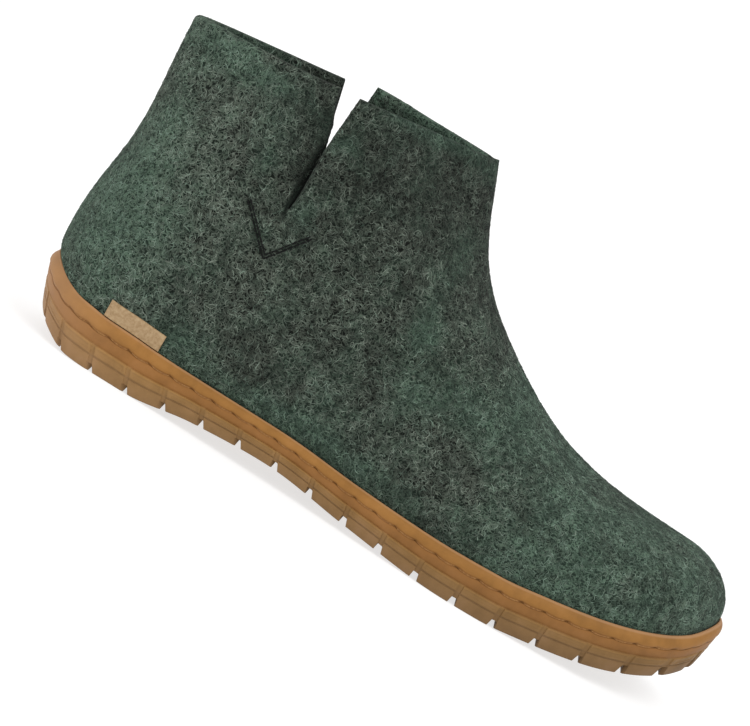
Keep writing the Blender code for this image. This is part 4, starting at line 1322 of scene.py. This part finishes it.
def sole_ring(places, shares, gap, level, cut, step, panel):
    """One ring round the side, pushed in by slots and sunk panels, and lifted where a notch cuts it."""
    height = table_value(SOLE_SIDE, 2, shares)
    on_block = level < BLOCK_TOP
    rise = np.maximum(level * height, notch_height(shares, gap) * on_block)
    slot = held((SLOT_WIDTH / 2 + SLOT_WALL - gap) / (2 * SLOT_WALL)) * on_block
    inward = step + PANEL_DEPTH * panel * ease((gap - SLOT_WIDTH / 2 - PANEL_MARGIN) / PANEL_WALL)
    inward = inward + np.maximum(BLOCK_STEP - inward, 0.0) * slot
    if BLOCK_TOP < level < WALL_TOP:
        inward = inward * (1 - END_FILL * (bell(shares / END_REACH) + bell((1 - shares) / END_REACH)))
    if level > LIP_START:
        inward = inward * (1 - thin_lip(shares) / RAND_THICKNESS)
    reach = cut - NOTCH_SLANT * np.maximum(rise / height - level, 0.0) * on_block
    z = underside(shares) + rise + scallop(places) * between(level, *SCALLOP_LEVELS)
    return ring_points(shares, undercut_insets(reach, inward), lambda x: z), slot


def tread_ring(shares, gap, inset):
    """One ring under the sole, moved straight toward the middle line and lifted in the notches it crosses."""
    notch = notch_height(shares, gap) * (inset <= NOTCH_REACH)
    return ring_points(shares, undercut_insets(1.0, TREAD_INSETS[0]),
                       lambda x: underside(tread_share(x)) + notch, inset - TREAD_INSETS[0])


def cup_ring(shares, inset):
    """One ring on the cup's floor, an inset inward from its outline."""
    return ring_points(shares, undercut_insets(CUP_UNDERCUT, inset), cup_floor)


def ring_faces(rings):
    """Faces from ring to ring, and strips across the first and the last ring from outer to inner side."""
    size = len(rings[0])
    i = np.arange(size // 2)
    strips = np.stack((i, i + 1, (size - i - 1) % size, (size - i) % size), axis=1)
    last = (len(rings) - 1) * size
    return np.concatenate((quad_grid(len(rings), size, around=True), strips[:, ::-1], strips + last)).tolist()


def side_shade(places, shares, level, slot):
    """Painted shade on one ring of the side: in its grooves, in the slots and round the holes of the
    stitches.
    """
    painted_shade = max(amount * (low < level < high) for low, high, amount in SHADED_GROOVES)
    painted_shade = np.maximum(painted_shade, SLOT_SHADE * slot)
    if HOLE_LEVELS[0] < level < HOLE_LEVELS[1]:
        hole = bell(((places / STITCH_PITCH + 0.5) % 1 - 0.5) * STITCH_PITCH / HOLE_RADIUS)
        stronger = HOLE_FAINTER * ease((shares - HOLE_START) / HOLE_RUN)
        painted_shade = np.maximum(painted_shade, HOLE_SHADE * hole) * (1 - HOLE_FAINTER + stronger)
    return painted_shade


def make_sole(material):
    """The cup sole: rings under the tread, up its side, over the lip and down to the cup's floor."""
    places, shares, gap = sole_stations()
    band, lugs = (both_ways(light, light) for light in (table_value(SOLE_LIGHT, k, shares) for k in (1, 2)))
    # Columns: ring of points, zone of colour, painted shade below and in hollows, painted shade along the
    # boot, rim highlight
    layers = [(tread_ring(shares, gap, inset), 0.0, TREAD_SHADE, lugs, 0.0) for inset in TREAD_INSETS[::-1]]
    for level, cut, step, panel, zone in SOLE_PROFILE:
        ring, slot = sole_ring(places, shares, gap, level, cut, step, panel)
        painted_shade = side_shade(places, shares, level, slot)
        height = ease((level - BAND_START) / BAND_RUN)
        layers.append((ring, zone, both_ways(painted_shade, painted_shade), lugs * (1 - height) + band * height,
                       RIM_HIGHLIGHT * ease((level - RIM_START) / RIM_RUN)))
    layers.append((cup_ring(shares, RAND_THICKNESS), 0.5, CUP_SHADE, band, 0.0))
    rings, *looks = zip(*layers)
    points = np.concatenate(rings)
    zone, painted_shade, shade, rim = (np.concatenate([np.broadcast_to(value, len(band)) for value in look])
                              for look in looks)
    # Paler rubber at the heel, and the painted highlight along the lip's edge
    pale = np.maximum(PALE_HEEL * bell(station(points[:, 0]) / PALE_REACH), rim)
    new_piece("cup_sole", points, ring_faces(rings), material, ("outsole",),
              {"zone": zone, "painted_shade": painted_shade, "shade": shade, "pale": pale}, sharp=38)


def groove_point(place, side):
    """A point in the side's groove at a length along the outline, as high as the scallop of the stitches."""
    share = np.interp(place, EDGE_LENGTHS, EDGE_SHARES)
    x, y = outline(share, side, *undercut_insets(THREAD_CUT, THREAD_DEPTH))
    z = underside(share) + THREAD_LEVEL * table_value(SOLE_SIDE, 2, share) + scallop(place)
    return np.stack((x, y, z), axis=-1)


def make_sole_stitches(material):
    """The thread of the side stitching: each stitch a cord that hangs from one hole to the next."""
    starts = np.arange(STITCH_PITCH, EDGE_LENGTHS[-1] - STITCH_PITCH, STITCH_PITCH)
    place = starts[:, None] + STITCH_PITCH * np.linspace(*STITCH_SPAN, 9)[None]
    lines = [(side, groove_point(place, side)) for side in SIDES]
    make_cords("sole_stitches", material, lines, THREAD_RADIUS)


def make_chevron_stitches(material):
    """Two rows of lockstitch in a V under each slit: short cords end to end, sunk a little in the felt."""
    lines = []
    tip = np.array(CHEVRON_TIP)
    arch = CHEVRON_RISE + CHEVRON_ARCH * np.sin(np.pi * np.linspace(0, 1, 7))[None]
    for side in SIDES:
        for end in np.array(CHEVRON_ENDS):
            length = np.hypot(*(end - tip))
            along = (end - tip) / length
            across = np.array((-along[1], along[0])) * np.sign(end[0] - tip[0])
            for row in (0.0, CHEVRON_GAP):
                stitches = round((length - row) / CHEVRON_STITCH)
                pitch = (length - row) / stitches
                place = row + pitch * (np.arange(stitches)[:, None] + np.linspace(*CHEVRON_SPAN, 7)[None])
                flat = tip + place[..., None] * along + row * across
                x, z = flat[..., 0], flat[..., 1]
                y = felt_side(x, z, side) + side * (arch - crease_depth(x, z, side))
                lines.append((side, np.stack((x, y, z), axis=-1)))
    make_cords("chevron_stitches", material, lines, CHEVRON_RADIUS)


# Insole and label

# Section of the insole's edge. Columns: further inset, height above the insole's underside
INSOLE_SECTION = (
    (1.5, 0.0),
    (0.4, 0.0),
    (0.0, 0.5),
    (0.0, 2.4),
    (0.3, 3.3),
    (1.0, 3.85),
    *((more, INSOLE_THICKNESS) for more in (2.2, 6.0, 12.0, 17.0)),
)


def make_insole(material):
    """The felt lining: rings on the cup's floor, with a rounded edge and a flat top."""
    shares = crowd_ends(np.linspace(0, 1, 121))
    rings = []
    for more, height in INSOLE_SECTION:
        ring = cup_ring(shares, FELT_INSET + FELT_WALL + FIT_GAP + more)
        ring[:, 2] += FIT_GAP + height
        rings.append(ring)
    points = np.concatenate(rings)
    new_piece("insole_felt", points, ring_faces(rings), material, ("insole",),
              {"green": np.full(len(points), 0.25), "light": np.full(len(points), 1.0)}, sharp=60)


def make_label(material):
    """The leather tab: a thick grid laid on the felt's own surface beside the lip, with rounded edges."""
    u = crowd_ends(np.linspace(0, 1, 41))[:, None]
    v = crowd_ends(np.linspace(0, 1, 17))[None]
    x = HEEL_X + LABEL_FROM_HEEL + LABEL_LENGTH * u
    z = felt_lip(x) + FIT_GAP + LABEL_HEIGHT * v
    x = np.broadcast_to(x, z.shape)
    y = felt_side(x, z, OUTER_SIDE) - LABEL_CLEARANCE
    y = y - LABEL_WAVE * np.sin(9.0 * u + 1.0) * v
    inner = np.stack((x, y, z), axis=2).reshape(-1, 3)
    loops = quad_grid(*z.shape)[:, (0, 3, 2, 1)]
    normals = vertex_normals(inner, loops)
    normals = normals * -np.sign(normals[:, 1:2])
    edge = np.minimum(np.minimum(u, 1 - u) * LABEL_LENGTH, np.minimum(v, 1 - v) * LABEL_HEIGHT).ravel()
    rounding = LABEL_EDGE * (1 - round_end(edge / LABEL_EDGE))
    outer = inner + normals * (LABEL_THICKNESS - rounding)[:, None]
    new_piece("leather_label", np.concatenate((outer, inner)), thick_faces(loops, len(inner)), material,
              ("label_tab",), sharp=50)


# Pieces

# Columns: name, count, seed, steps, least and greatest length, curl, and the same two of width, lift and tone
FELT_FIBRES = (
    ("wool_fibres_fine", 24500, 11, 4, (0.9, 2.3), 0.7, (0.18, 0.32), (0.01, 0.15), (0.0, 0.9)),
    ("wool_fibres_curled", 16200, 23, 6, (1.6, 3.6), 1.0, (0.14, 0.26), (0.02, 0.20), (0.0, 1.0)),
    ("wool_fibres_long", 10000, 37, 6, (2.6, 5.2), 0.6, (0.12, 0.2), (0.02, 0.25), (0.1, 1.0)),
)
LINING_FIBRES = ("lining_fibres", 6000, 51, 6, (2.0, 4.5), 0.6, (0.22, 0.34), (0.01, 0.2), (0.0, 0.8))

# Painted shade of dark gaps and green gaps between fibres, then dyes of grey-brown wool and green wool
felt = wool_felt("green_wool_felt", "#0b0f0b", "#212e26", "#51594f", "#556a5a")
fibre = wool_fibre("green_wool_fibre", "#141914", "#212e26", "#7c867a", "#708677")
lining = wool_felt("lining_wool_felt", "#0b0f0b", "#212e26", "#494d45", "#44524a")

outer_face, inner_face, felt_normals = make_felt_shell(felt)
for row in FELT_FIBRES:
    make_fibres(fibre, outer_face, felt_normals, everywhere, *row)
make_fibres(fibre, inner_face, -felt_normals, up_the_shaft, *LINING_FIBRES)
make_sole(natural_rubber())
make_sole_stitches(sewing_thread("waxed_honey_thread", "#8c6034", "#a67a48", 0.6))
make_chevron_stitches(sewing_thread("black_thread", "#030404", "#090b0a", 0.9))
make_insole(lining)
make_label(label_leather())


# Floor, light and camera

# Floor and distance in metres, sensor and target in millimetres, angles in degrees
FLOOR_REACH = 60.0
FOCAL_PIXELS = 3727.96
PICTURE_WIDTH = 750
SENSOR_WIDTH = 36.0
CAMERA_RISE = 8.0
CAMERA_ROLL = 31.66
CAMERA_DISTANCE = 1.4
CAMERA_TARGET = (-19.48, -1.57, 54.1)


def placed(axes, place):
    """The matrix with three axes as its columns and a place."""
    return Matrix([(*row, p) for row, p in zip(np.stack(axes, axis=1), place)] + [(0, 0, 0, 1)])


def make_floor():
    """A plain pale floor, far wider than the boot."""
    mesh = bpy.data.meshes.new("floor")
    corners = [(x * FLOOR_REACH, y * FLOOR_REACH, 0) for x, y in ((-1, -1), (1, -1), (1, 1), (-1, 1))]
    mesh.from_pydata(corners, [], [(0, 1, 2, 3)])
    floor = new_object("floor", mesh)
    material, shader = new_material("pale_floor", 0.9, Specular_IOR_Level=0.1, Emission_Strength=0.7)
    shader.inputs["Base Color"].default_value = grey(0.36)
    shader.inputs["Emission Color"].default_value = grey(1.0)
    mesh.materials.append(material)


def make_light(name, kind, energy, size, place, target):
    """A lamp at a place, turned to a target."""
    lamp = bpy.data.lights.new(name, kind)
    lamp.energy = energy
    lamp.shape = "DISK"
    lamp.size = size
    back = unit(np.array(place, float) - np.array(target, float))
    side = unit(np.cross((0.0, 0.0, 1.0), back))
    up = np.cross(back, side)
    new_object(name, lamp).matrix_world = placed((side, up, back), place)


def make_camera():
    """The photograph's view: from 8 degrees above, rolled so that the toe points down."""
    elevation, roll = np.radians(CAMERA_RISE), np.radians(CAMERA_ROLL)
    back = np.array((0.0, -np.cos(elevation), np.sin(elevation)))
    level = np.array((1.0, 0.0, 0.0))
    up = np.cross(back, level)
    right = np.cos(roll) * level + np.sin(roll) * up
    upward = -np.sin(roll) * level + np.cos(roll) * up
    data = bpy.data.cameras.new("camera")
    data.sensor_width = SENSOR_WIDTH
    data.lens = FOCAL_PIXELS * SENSOR_WIDTH / PICTURE_WIDTH
    data.clip_end = 200.0
    camera = new_object("camera", data)
    camera.matrix_world = placed((right, upward, back), np.array(CAMERA_TARGET) * MM + back * CAMERA_DISTANCE)
    bpy.context.scene.camera = camera


make_floor()
world = bpy.data.worlds.new("studio")
bpy.context.scene.world = world
world.use_nodes = True
background = world.node_tree.nodes["Background"].inputs
background["Color"].default_value = grey(1.0)
background["Strength"].default_value = 1.0
make_light("key", "AREA", 9.0, 1.0, (0.5, -0.9, 1.3), (0.0, 0.0, 0.05))
make_camera()
bpy.context.scene.view_settings.view_transform = "Standard"
